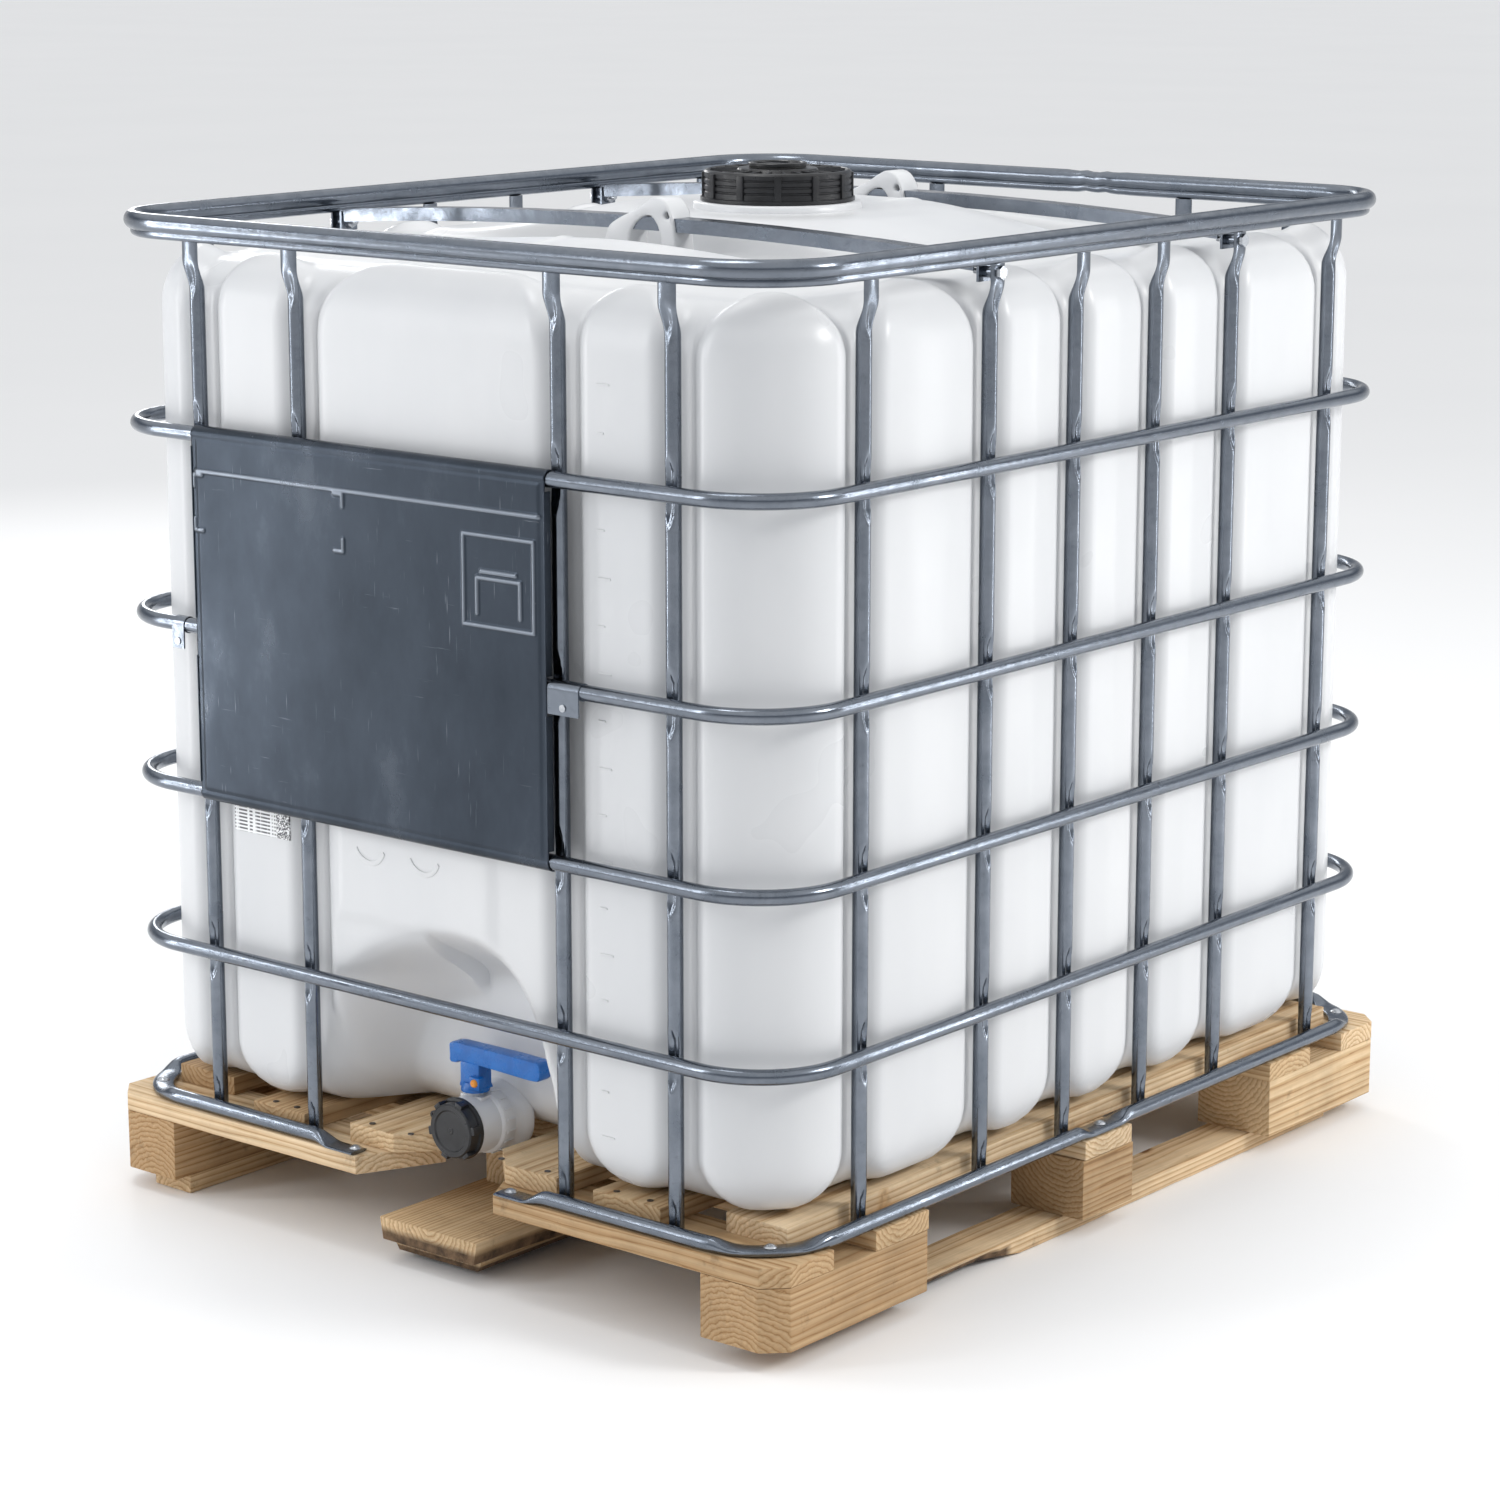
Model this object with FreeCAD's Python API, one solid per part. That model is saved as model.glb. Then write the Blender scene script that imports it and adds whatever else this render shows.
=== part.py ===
import FreeCAD, Part
import math
import os

# Intermediate bulk container: blow-moulded bottle in a tubular steel cage on a wooden pallet.
# Millimetres. +Z up, origin on the floor under the centre of the pallet.
# The outlet valve and the label plate are at the front, -Y. +X is to the right of the front.

V = FreeCAD.Vector
UP = V(0, 0, 1)

# ---- pallet -------------------------------------------------------------------------
PALLET_X = 1000.0
PALLET_Y = 1200.0
SKID_T = 22.0            # bottom skids
BLOCK_H = 70.0           # blocks between skids and cross boards
BOARD_T = 22.0           # cross boards and deck boards
CORNER_CUT = 24.0        # cut-off outer corners
BLOCK_W = 102.0          # corner block, across
BLOCK_L = 258.0          # corner block, along
MID_BLOCK = 100.0
SILL_T = 30.0            # short sill plank below the valve
SILL_X = (-66.0, 81.0)
LEAD_W = 96.0            # first and last cross boards
CROSS_W = 93.0           # inner cross boards
CROSS_Y = 386.5          # centre distance of the inner cross boards
NOTCH_FRONT = 102.0      # half width of the valve notch at the board's front edge
NOTCH_BACK = 54.0        # half width at its back edge
NAIL_REACH = 540.0       # nails nearer the middle than this lie under the bottle

Z_BLOCK = SKID_T
Z_CROSS = SKID_T + BLOCK_H
Z_DECK = Z_CROSS + BOARD_T
Z_FLOOR = Z_DECK + BOARD_T      # the bottle stands here

# ---- cage ---------------------------------------------------------------------------
TUBE_R = 8.5
TUBE_WALL = 1.0
CAGE_X = 491.0           # ring centre line, half width
CAGE_Y = 591.0           # ring centre line, half length
CAGE_CORNER = 100.0      # ring centre line, corner radius
RING_Z = {"ring_lower": 306.7, "ring_plate_low": 496.3, "ring_plate_mid": 683.4, "ring_plate_top": 901.0}
RAIL_R = 10.5            # main bead of the top rail
RAIL_BEAD_R = 5.5        # small bead below it
RAIL_TOP = 1140.0
RAIL_INSET = 2.0         # rail centre line inside the rings' centre line
BASE_Z = Z_DECK + TUBE_R
UPRIGHT_X = (-344.5, -190.0, 190.0, 344.5)     # on the two short sides
UPRIGHT_Y = (-430.0, -214.5, -57.5, 97.0, 251.5, 460.0)     # on the two long sides
UPRIGHT_TOP = 1112.0
FLAT_T = 5.0             # flattened upright top
GAP_LEFT = -101.5        # front opening of the base rail
GAP_RIGHT = 106.5
FLAT_END = 46.0          # flattened length at each side of the opening

# ---- bottle -------------------------------------------------------------------------
WALL = 2.5
BOTTLE_X = 476.0
BOTTLE_Y = 576.0
BOTTLE_CY = 4.0
BOTTLE_CORNER = 118.0
BOTTLE_TOP = 1092.0
SHOULDER_R = 60.0
FOOT_R = 45.0
GROOVE_R = 13.0
DOME_TOP = 1129.0
COLLAR_T = 8.0
LID_Y = 19.0             # fill opening centre
NECK_R = 76.0
NECK_BORE = 72.0
NECK_TOP = 1166.0

# ---- outlet -------------------------------------------------------------------------
OUT_Z = 152.0
RECESS_Y = -474.0        # back wall of the valve recess
BARREL_R = 28.5
BORE_R = 24.0
STEM_Y = -512.0
DISC_R = 23.6
THREAD_R = 28.0
BARREL_FRONT = -535.0
SPOUT_FRONT = -549.0


def box(x0, x1, y0, y1, z0, z1):
    return Part.makeBox(x1 - x0, y1 - y0, z1 - z0, V(x0, y0, z0))


def cyl(r, h, at, axis=UP):
    return Part.makeCylinder(r, h, V(*at), V(*axis))


def tube(r_out, r_in, h, at, axis=UP):
    return cyl(r_out, h, at, axis).cut(cyl(r_in, h, at, axis))


def prism(points, z0, z1):
    """Upright prism over a plan outline."""
    loop = [V(x, y, z0) for x, y in points]
    face = Part.Face(Part.makePolygon(loop + [loop[0]]))
    return face.extrude(V(0, 0, z1 - z0))


def save(name, solids):
    shape = Part.makeCompound(solids) if len(solids) > 1 else solids[0]
    shape.exportStep("parts/" + name + ".step")


def fuse(solids):
    body = solids[0].multiFuse(solids[1:]) if len(solids) > 1 else solids[0]
    return body.removeSplitter().Solids[0]


# ---- closed rings of constant section -------------------------------------------------
def disc_face(r, u, w, along):
    """Round face at offset (u outward, w up), normal to `along`, which lies in the XY plane."""
    side = V(along.y, -along.x, 0)
    return Part.Face(Part.Wire(Part.makeCircle(r, side * u + UP * w, along)))


def tube_profile(along, outer=TUBE_R, wall=TUBE_WALL):
    return disc_face(outer, 0, 0, along).cut(disc_face(outer - wall, 0, 0, along)).Faces[0]


def rail_profile(along):
    """Main bead with a smaller bead fused below it, hollow."""
    drop = RAIL_R + 4.5

    def beads(skin):
        top = disc_face(RAIL_R - skin, -RAIL_INSET, 0, along)
        low = disc_face(RAIL_BEAD_R - skin, -RAIL_INSET - 4.0, -drop + 3.0, along)
        return top.fuse(low)

    both = beads(0).removeSplitter().cut(beads(1.4).removeSplitter())
    return both.Faces[0]


def flat_profile(along):
    """Flattened stretch of tube: a solid bar with round edges, lying on the board."""
    side = V(along.y, -along.x, 0)
    half, t, inset = 8.0, 4.5, 4.0
    low, high = -TUBE_R, -TUBE_R + 2 * t
    a = side * (-half - inset) + UP * low
    b = side * (half - inset) + UP * low
    c = side * (half - inset) + UP * high
    d = side * (-half - inset) + UP * high
    right = side * (half + t - inset) + UP * (low + t)
    left = side * (-half - t - inset) + UP * (low + t)
    wire = Part.Wire([Part.makeLine(a, b), Part.Arc(b, right, c).toShape(),
                      Part.makeLine(c, d), Part.Arc(d, left, a).toShape()])
    return Part.Face(wire)


def straight(profile, start, end):
    """Section pushed along a straight run; it travels anticlockwise seen from above."""
    run = end - start
    face = profile(run * (1.0 / run.Length))
    face.translate(start)
    return face.extrude(run)


def bend(profile, centre, radius, start_deg, sweep_deg):
    """Section turned about a vertical axis."""
    a = math.radians(start_deg)
    face = profile(V(-math.sin(a), math.cos(a), 0))
    face.translate(centre + V(math.cos(a), math.sin(a), 0) * radius)
    return face.revolve(centre, UP, sweep_deg)


def corner_centre(sx, sy, z):
    return V(sx * (CAGE_X - CAGE_CORNER), sy * (CAGE_Y - CAGE_CORNER), z)


def ring(profile, z):
    """Full rounded-rectangle ring round the cage."""
    x, y, r = CAGE_X, CAGE_Y, CAGE_CORNER
    runs = [straight(profile, V(x, -y + r, z), V(x, y - r, z)),
            straight(profile, V(x - r, y, z), V(-x + r, y, z)),
            straight(profile, V(-x, y - r, z), V(-x, -y + r, z)),
            straight(profile, V(-x + r, -y, z), V(x - r, -y, z))]
    corners = [(1, 1, 0), (-1, 1, 90), (-1, -1, 180), (1, -1, 270)]
    for sx, sy, start in corners:
        runs.append(bend(profile, corner_centre(sx, sy, z), r, start, 90))
    return fuse(runs)


# ---- pallet ---------------------------------------------------------------------------
def cut_corner_block(sx, sy):
    """Corner block with its outer upright edge cut off."""
    x, y, c = PALLET_X / 2, PALLET_Y / 2, CORNER_CUT
    pts = [(x - BLOCK_W, y), (x - c, y), (x, y - c), (x, y - BLOCK_L), (x - BLOCK_W, y - BLOCK_L)]
    return prism([(sx * px, sy * py) for px, py in pts], Z_BLOCK, Z_CROSS)


def lead_board(sy):
    x, y, c = PALLET_X / 2, PALLET_Y / 2, CORNER_CUT
    pts = [(-x + c, y), (x - c, y), (x, y - c), (x, y - LEAD_W), (-x, y - LEAD_W), (-x, y - c)]
    return prism([(px, sy * py) for px, py in pts], Z_CROSS, Z_DECK)


def front_lead_boards():
    """The front cross board is cut through in the middle to make room for the valve."""
    y = PALLET_Y / 2
    notch = prism([(-NOTCH_FRONT, -y), (NOTCH_FRONT + 4, -y), (NOTCH_BACK, -y + LEAD_W),
                   (-NOTCH_BACK, -y + LEAD_W)], Z_CROSS, Z_DECK)
    return lead_board(-1).cut(notch).Solids


def deck_board(x0, x1, y0, y1, cut=0):
    """Deck board along Y; `cut` slants the front corner on its right (+) or left (-)."""
    c = 40.0
    pts = [(x0, y1), (x0, y0), (x1, y0), (x1, y1)]
    if cut > 0:
        pts = [(x0, y1), (x0, y0), (x1 - c, y0), (x1, y0 + c), (x1, y1)]
    if cut < 0:
        pts = [(x0, y1), (x0, y0 + c), (x0 + c, y0), (x1, y0), (x1, y1)]
    return prism(pts, Z_DECK, Z_FLOOR)


def pallet():
    half_x, half_y = PALLET_X / 2, PALLET_Y / 2
    save("skid_right", [box(412, 472, -512, 515, 0, SKID_T)])
    save("skid_left", [box(-458, -398, -577, 515, 0, SKID_T)])
    save("skid_centre", [box(-68, 68, -577, half_y - 20, 0, SKID_T)])
    save("sill_plank", [box(SILL_X[0], SILL_X[1], -half_y, -half_y + 262, SKID_T, SKID_T + SILL_T)])

    save("blocks_corner", [cut_corner_block(sx, sy) for sx in (-1, 1) for sy in (-1, 1)])
    m = MID_BLOCK / 2
    inner = half_x - MID_BLOCK
    save("blocks_side", [box(inner, half_x, -m, m, Z_BLOCK, Z_CROSS),
                         box(-half_x, -inner, -m, m, Z_BLOCK, Z_CROSS)])
    valve_block = box(-57, 45, -436, -341, SKID_T + SILL_T, Z_CROSS)
    save("blocks_centre", [valve_block, box(-m, m, -m, m, Z_BLOCK, Z_CROSS),
                           box(-m, m, half_y - BLOCK_L, half_y - 2, Z_BLOCK, Z_CROSS)])

    save("lead_board_front", front_lead_boards())
    save("lead_board_back", [lead_board(1)])
    w = CROSS_W / 2
    save("cross_boards", [box(-half_x, half_x, y - w, y + w, Z_CROSS, Z_DECK)
                          for y in (-CROSS_Y, 0.0, CROSS_Y)])

    # x from, x to, y from, y to, slanted front corner
    boards = [(377, 460, -532, 528, 0), (222, 317, -568, 560, 0), (52, 168, -565, 560, -1),
              (-145, -37, -565, 560, 1), (-288, -206, -576, 560, 0), (-460, -369, -530, 528, 0),
              (-30, 45, -424, 560, 0)]
    save("deck_boards", [deck_board(*b) for b in boards])

    # nail heads stand proud only at the board ends, clear of the bottle's rounded foot
    nails = []
    for x0, x1, y0, y1, _ in boards:
        for y in (y0 + 12, y1 - 12):
            if abs(y) < NAIL_REACH:
                continue
            nails += [cyl(3.6, 0.9, (x, y, Z_FLOOR)) for x in (x0 + 24, x1 - 24)]
    save("deck_nails", nails)


# ---- cage -----------------------------------------------------------------------------
def upright():
    """One cage upright, facing -Y at the origin: a round tube whose top is flattened and set out."""
    r = TUBE_R
    z0, z_bend, out = Z_DECK + 0.4, 1066.0, 9.0
    body = tube(r, r - TUBE_WALL, z_bend - z0, (0, 0, z0))
    t = FLAT_T / 2
    side = [(-r, z_bend), (-out - t, z_bend + 28), (-out - t, UPRIGHT_TOP), (-out + t, UPRIGHT_TOP),
            (-out + t, z_bend + 30), (r, z_bend)]
    front = [(-r, z_bend), (-12, z_bend + 26), (-12, UPRIGHT_TOP), (12, UPRIGHT_TOP),
             (12, z_bend + 26), (r, z_bend)]
    side_loop = [V(-20, y, z) for y, z in side]
    front_loop = [V(x, -20, z) for x, z in front]
    slab = Part.Face(Part.makePolygon(side_loop + [side_loop[0]])).extrude(V(40, 0, 0))
    fan = Part.Face(Part.makePolygon(front_loop + [front_loop[0]])).extrude(V(0, 40, 0))
    head = slab.common(fan)
    return body.fuse(head).Solids[0]


def placed(shape, x, y, turn):
    copy = shape.copy()
    copy.rotate(V(0, 0, 0), UP, turn)
    copy.translate(V(x, y, 0))
    return copy


def uprights():
    one = upright()
    off = TUBE_R * 2
    x, y = CAGE_X - off, CAGE_Y - off
    drilled = one.cut(cyl(3.3, 40, (0, 10, 1102), (0, -1, 0)))
    bar_y = (UPRIGHT_Y[1], UPRIGHT_Y[4])
    save("uprights_front", [placed(one, px, -y, 0) for px in UPRIGHT_X])
    save("uprights_back", [placed(one, px, y, 180) for px in UPRIGHT_X])
    save("uprights_right", [placed(drilled if py in bar_y else one, x, py, 90) for py in UPRIGHT_Y])
    save("uprights_left", [placed(drilled if py in bar_y else one, -x, py, 270) for py in UPRIGHT_Y])


def flat_tip(x_from, x_to):
    """Flattened end of the base rail beside the front opening."""
    end = box(min(x_from, x_to), max(x_from, x_to), -CAGE_Y - 8.5, -CAGE_Y + 13.0, Z_DECK, Z_DECK + 4.0)
    edges = [e for e in end.Edges if abs(e.Vertexes[0].Z - e.Vertexes[1].Z) > 1]
    inner = [e for e in edges if abs(e.Vertexes[0].X - x_to) < 0.1]
    return end.makeFillet(6.0, inner)


def base_rail():
    """Bottom ring on the boards: open at the front, flattened at the screws."""
    x, y, r, z = CAGE_X, CAGE_Y, CAGE_CORNER, BASE_Z
    parts = [straight(tube_profile, V(x - r, y, z), V(-x + r, y, z))]
    for s in (1, -1):
        y0, y1 = (-y + r) * s, (y - r) * s
        parts.append(straight(tube_profile, V(x * s, y0, z), V(x * s, -30 * s, z)))
        parts.append(straight(flat_profile, V(x * s, -30 * s, z), V(x * s, 30 * s, z)))
        parts.append(straight(tube_profile, V(x * s, 30 * s, z), V(x * s, y1, z)))
    for sx, sy, start in [(1, 1, 0), (-1, 1, 90), (-1, -1, 180), (1, -1, 270)]:
        c = corner_centre(sx, sy, z)
        parts.append(bend(tube_profile, c, r, start, 25))
        parts.append(bend(flat_profile, c, r, start + 25, 40))
        parts.append(bend(tube_profile, c, r, start + 65, 25))
    left, right = GAP_LEFT - FLAT_END, GAP_RIGHT + FLAT_END
    parts.append(straight(tube_profile, V(-x + r, -y, z), V(left, -y, z)))
    parts.append(straight(tube_profile, V(right, -y, z), V(x - r, -y, z)))
    parts.append(flat_tip(left - 2, GAP_LEFT))
    parts.append(flat_tip(right + 2, GAP_RIGHT))
    return fuse(parts)


def base_screw_points():
    """Plan positions of the screws that hold the base rail, with the height of the face under the head."""
    d = (CAGE_CORNER - 4.0) * math.sqrt(0.5)
    cx, cy = CAGE_X - CAGE_CORNER + d, CAGE_Y - CAGE_CORNER + d
    points = [(sx * cx, sy * cy, Z_DECK + 9.0) for sx in (-1, 1) for sy in (-1, 1)]
    points += [(sx * (CAGE_X - 4.0), 0.0, Z_DECK + 9.0) for sx in (-1, 1)]
    points += [(GAP_LEFT - 13, -CAGE_Y + 4, Z_DECK + 4.0), (GAP_RIGHT + 15, -CAGE_Y + 4, Z_DECK + 4.0)]
    return points


def round_head_screw(x, y, z, r_head, h_head, r_shank, length):
    head = Part.makeSphere(r_head * 1.25, V(x, y, z + h_head - r_head * 1.25))
    head = head.common(cyl(r_head, h_head, (x, y, z)))
    return head.fuse(cyl(r_shank, length, (x, y, z - length))).Solids[0]


BAR_W, BAR_H, BAR_T = 26.0, 15.0, 1.5
BAR_TOP = 1135.0
BAR_ARC = 6300.0
BAR_END = 468.0


def crossbar(y):
    """Upside-down channel, slightly arched along X, with a bolting lug at each end."""
    centre = V(0, y, BAR_TOP - BAR_ARC)
    half = math.degrees(math.asin((BAR_END - 6) / BAR_ARC))
    a, t = BAR_W / 2, BAR_T
    low, high = BAR_ARC - BAR_H, BAR_ARC
    outline = [(-a, low), (-a, high), (a, high), (a, low), (a - t, low), (a - t, high - t),
               (-a + t, high - t), (-a + t, low)]
    loop = [V(0, y + u, centre.z + w) for u, w in outline]
    face = Part.Face(Part.makePolygon(loop + [loop[0]]))
    face.rotate(centre, V(0, 1, 0), -half)
    bar = face.revolve(centre, V(0, 1, 0), 2 * half)
    for s in (-1, 1):
        x = s * BAR_END
        lug = box(min(x, x - s * 3), max(x, x - s * 3), y - a, y + a, 1092.0, 1116.0)
        shelf = box(min(x, x - s * 10), max(x, x - s * 10), y - a, y + a, 1115.0, 1118.0)
        bar = bar.fuse(lug).fuse(shelf)
    hole = cyl(3.3, 2 * BAR_END + 40, (-BAR_END - 20, y, 1102), (1, 0, 0))
    return bar.cut(hole).removeSplitter().Solids[0]


def crossbar_bolt(s, y):
    """Hex bolt through an upright's flat top and the crossbar lug, with a nut inside."""
    x_in = s * BAR_END - s * 3
    x_out = s * (CAGE_X - TUBE_R * 2 + 9.0 + FLAT_T / 2)
    head = hexagon(13.0, 5.0, V(x_out, y, 1102), V(s, 0, 0))
    shank = cyl(3.0, abs(x_out - x_in) + 12, (x_out, y, 1102), (-s, 0, 0))
    nut = hexagon(13.0, 5.0, V(x_in, y, 1102), V(-s, 0, 0))
    spacer = tube(6.0, 3.3, abs(x_out) - FLAT_T - BAR_END - 0.2, (s * (BAR_END + 0.1), y, 1102), (s, 0, 0))
    return [fuse([head, shank, nut]), spacer.Solids[0]]


def hexagon(across, height, at, axis):
    r = across / math.sqrt(3)
    pts = [V(r * math.cos(math.radians(60 * k)), r * math.sin(math.radians(60 * k)), 0) for k in range(6)]
    solid = Part.Face(Part.makePolygon(pts + [pts[0]])).extrude(V(0, 0, height))
    solid.Placement = FreeCAD.Placement(at, FreeCAD.Rotation(UP, axis))
    return solid


# ---- label plate ----------------------------------------------------------------------
PLATE_X = (-333.0, 193.0)
PLATE_T = 1.0
PLATE_FIT = 0.1


def hook_profile():
    """Side outline of the plate: a flat front with both ends rolled over a ring."""
    r_in = TUBE_R + PLATE_FIT
    r_out = r_in + PLATE_T
    top = V(0, -CAGE_Y, RING_Z["ring_plate_top"])
    low = V(0, -CAGE_Y, RING_Z["ring_plate_low"])

    def at(c, r, deg):
        a = math.radians(deg)
        return c + V(0, r * math.cos(a), r * math.sin(a))

    over, under = 55.0, -55.0
    edges = [Part.makeLine(at(low, r_out, 180), at(top, r_out, 180)),
             Part.Arc(at(top, r_out, 180), at(top, r_out, 115), at(top, r_out, over)).toShape(),
             Part.makeLine(at(top, r_out, over), at(top, r_in, over)),
             Part.Arc(at(top, r_in, over), at(top, r_in, 115), at(top, r_in, 180)).toShape(),
             Part.makeLine(at(top, r_in, 180), at(low, r_in, 180)),
             Part.Arc(at(low, r_in, 180), at(low, r_in, -115), at(low, r_in, under)).toShape(),
             Part.makeLine(at(low, r_in, under), at(low, r_out, under)),
             Part.Arc(at(low, r_out, under), at(low, r_out, -115), at(low, r_out, 180)).toShape()]
    return Part.Face(Part.Wire(edges))


def label_plate():
    """Sheet panel hooked over two rings, with side lips and raised frames on its face."""
    face = hook_profile()
    face.translate(V(PLATE_X[0], 0, 0))
    plate = face.extrude(V(PLATE_X[1] - PLATE_X[0], 0, 0))
    y_front = -CAGE_Y - TUBE_R - PLATE_FIT - PLATE_T
    lip_z = (RING_Z["ring_plate_low"] + 14, RING_Z["ring_plate_top"] - 14)
    mid = RING_Z["ring_plate_mid"]
    extra = []
    for x, s in ((PLATE_X[0], 1), (PLATE_X[1], -1)):
        for z0, z1 in ((lip_z[0], mid - 32), (mid + 14, lip_z[1])):
            extra.append(box(min(x, x + s), max(x, x + s), y_front + 0.5, y_front + 9.0, z0, z1))
    # raised lines: a long line under the top edge and the frame of a symbol box
    def line(x0, x1, z0, z1):
        return box(x0, x1, y_front - 0.8, y_front + 0.2, z0, z1)
    extra.append(line(-326, 186, 860.5, 863.0))
    bx0, bx1, bz0, bz1 = 79.0, 178.0, 740.0, 835.0
    extra += [line(bx0, bx1, bz0, bz0 + 2), line(bx0, bx1, bz1 - 2, bz1),
              line(bx0, bx0 + 2, bz0, bz1), line(bx1 - 2, bx1, bz0, bz1)]
    for cx, cz, sx, sz in ((-329, 858, 1, -1), (-98, 858, -1, -1), (-329, 798, 1, 1), (-98, 798, -1, 1)):
        extra.append(line(min(cx, cx + 12 * sx), max(cx, cx + 12 * sx), min(cz, cz + 2 * sz), max(cz, cz + 2 * sz)))
        extra.append(line(min(cx, cx + 2 * sx), max(cx, cx + 2 * sx), min(cz, cz + 12 * sz), max(cz, cz + 12 * sz)))
    return fuse([plate] + extra)


def plate_clip(x0, x1):
    """Strap folded round the middle ring beside the plate, closed below by a riveted ear."""
    z = RING_Z["ring_plate_mid"]
    r_in, r_out = TUBE_R + 0.05, TUBE_R + 1.05
    strap = tube(r_out, r_in, x1 - x0, (x0, -CAGE_Y, z), (1, 0, 0))
    y0 = -CAGE_Y - r_out
    ear = box(x0, x1, y0, y0 + 2.0, z - 26, z)
    ear = ear.cut(cyl(r_in, x1 - x0, (x0, -CAGE_Y, z), (1, 0, 0)))
    hole = cyl(2.5, 10, (0.5 * (x0 + x1), y0 - 2, z - 18), (0, 1, 0))
    return strap.fuse(ear).cut(hole).removeSplitter().Solids[0]


def clip_rivet(x0, x1):
    z = RING_Z["ring_plate_mid"] - 18
    y0 = -CAGE_Y - TUBE_R - 1.05
    x = 0.5 * (x0 + x1)
    head = cyl(4.0, 1.2, (x, y0 - 1.2, z), (0, 1, 0))
    shank = cyl(2.45, 2.6, (x, y0, z), (0, 1, 0))
    tail = cyl(3.6, 1.2, (x, y0 + 2.0, z), (0, 1, 0))
    return fuse([head, shank, tail])


def cage():
    save("top_rail", [ring(rail_profile, RAIL_TOP - RAIL_R)])
    for name, z in RING_Z.items():
        save(name, [ring(tube_profile, z)])
    save("base_rail", [base_rail().cut(Part.makeCompound(
        [cyl(3.2, 30, (x, y, Z_DECK - 5)) for x, y, _ in base_screw_points()])).Solids[0]])
    save("base_screws", [round_head_screw(x, y, z, 7.5, 3.6, 3.0, z - Z_DECK)
                         for x, y, z in base_screw_points()])
    uprights()
    bar_y = (UPRIGHT_Y[1], UPRIGHT_Y[4])
    save("crossbars", [crossbar(y) for y in bar_y])
    bolts, spacers = [], []
    for s in (-1, 1):
        for y in bar_y:
            bolt, spacer = crossbar_bolt(s, y)
            bolts.append(bolt)
            spacers.append(spacer)
    save("crossbar_bolts", bolts)
    save("bolt_spacers", spacers)
    save("label_plate", [label_plate()])
    clips = ((-373.0, -354.5), (194.5, 237.0))
    save("plate_clips", [plate_clip(a, b) for a, b in clips])
    save("clip_rivets", [clip_rivet(a, b) for a, b in clips])


# ---- bottle ---------------------------------------------------------------------------
def rounded_box(hx, hy, z0, z1, corner, top_r, foot_r, cy):
    body = box(-hx, hx, cy - hy, cy + hy, z0, z1)
    upright_edges = [e for e in body.Edges if abs(e.Vertexes[0].Z - e.Vertexes[1].Z) > 1]
    body = body.makeFillet(corner, upright_edges)
    top = [e for e in body.Edges if min(v.Z for v in e.Vertexes) > z1 - 0.1]
    body = body.makeFillet(top_r, top)
    foot = [e for e in body.Edges if max(v.Z for v in e.Vertexes) < z0 + 0.1]
    return body.makeFillet(foot_r, foot)


def arch(half_w, z0, z1, y0, y1, cx, r):
    """Door-shaped prism along Y with a rounded top."""
    body = box(cx - half_w, cx + half_w, y0, y1, z0, z1)
    top = [e for e in body.Edges
           if abs(e.Vertexes[0].Y - e.Vertexes[1].Y) > 1 and e.Vertexes[0].Z > z1 - 1]
    return body.makeFillet(r, top)


def groove_cutters(r):
    """Round channels that leave room for the cage uprights."""
    cutters = []
    off = TUBE_R * 2
    for x in UPRIGHT_X:
        for s in (-1, 1):
            cutters.append(cyl(r, 1200, (x, s * (CAGE_Y - off), 60)))
    for y in UPRIGHT_Y:
        for s in (-1, 1):
            cutters.append(cyl(r, 1200, (s * (CAGE_X - off), y, 60)))
    return Part.makeCompound(cutters)


def bar_channels(w, drop):
    """Shallow channels across the top for the two crossbars."""
    cuts = []
    for y in (UPRIGHT_Y[1], UPRIGHT_Y[4]):
        cuts.append(box(-600, 600, y - w, y + w, BAR_TOP - 48.0 - drop, 1300))
    return Part.makeCompound(cuts)


def bottle_body(skin):
    """Closed bottle shape, `skin` inside the outer surface."""
    k = skin
    body = rounded_box(BOTTLE_X - k, BOTTLE_Y - k, Z_FLOOR + k, BOTTLE_TOP - k,
                       BOTTLE_CORNER - k, SHOULDER_R - k, FOOT_R - k, BOTTLE_CY)
    body = body.cut(groove_cutters(GROOVE_R + k))
    body = body.cut(arch(172 + k, 100, 370 + k, -700, RECESS_Y + k, -20, 110 + k))
    dome = Part.makeCone(330 - k, 112 - k, DOME_TOP - BOTTLE_TOP + 40, V(0, LID_Y, BOTTLE_TOP - 40 - k))
    body = body.fuse(dome)
    body = body.cut(bar_channels(24 + k, k))
    sump = box(-33 + k, 33 - k, RECESS_Y + k, RECESS_Y + 46 - k, 117 + k, Z_FLOOR + 40)
    return body.fuse(sump)


def bottle():
    outer = bottle_body(0.0)
    inner = bottle_body(WALL)
    neck = cyl(NECK_R, NECK_TOP - BOTTLE_TOP + 10, (0, LID_Y, BOTTLE_TOP - 10))
    collar = cyl(96.0, COLLAR_T, (0, LID_Y, DOME_TOP))
    thread = [tube(NECK_R + 1.6, NECK_R - 0.5, 2.2, (0, LID_Y, z)) for z in (1147.0, 1154.0, 1161.0)]
    spout = cyl(27.5, 40, (0, RECESS_Y + 20, OUT_Z), (0, -1, 0))
    outer = outer.fuse(neck).fuse(collar).fuse(spout)
    for t in thread:
        outer = outer.fuse(t)
    mouth = cyl(NECK_BORE, 120, (0, LID_Y, BOTTLE_TOP - 20))
    drain = cyl(BORE_R, 70, (0, RECESS_Y + 36, OUT_Z), (0, -1, 0))
    return outer.cut(inner).cut(mouth).cut(drain).Solids[0]


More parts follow.
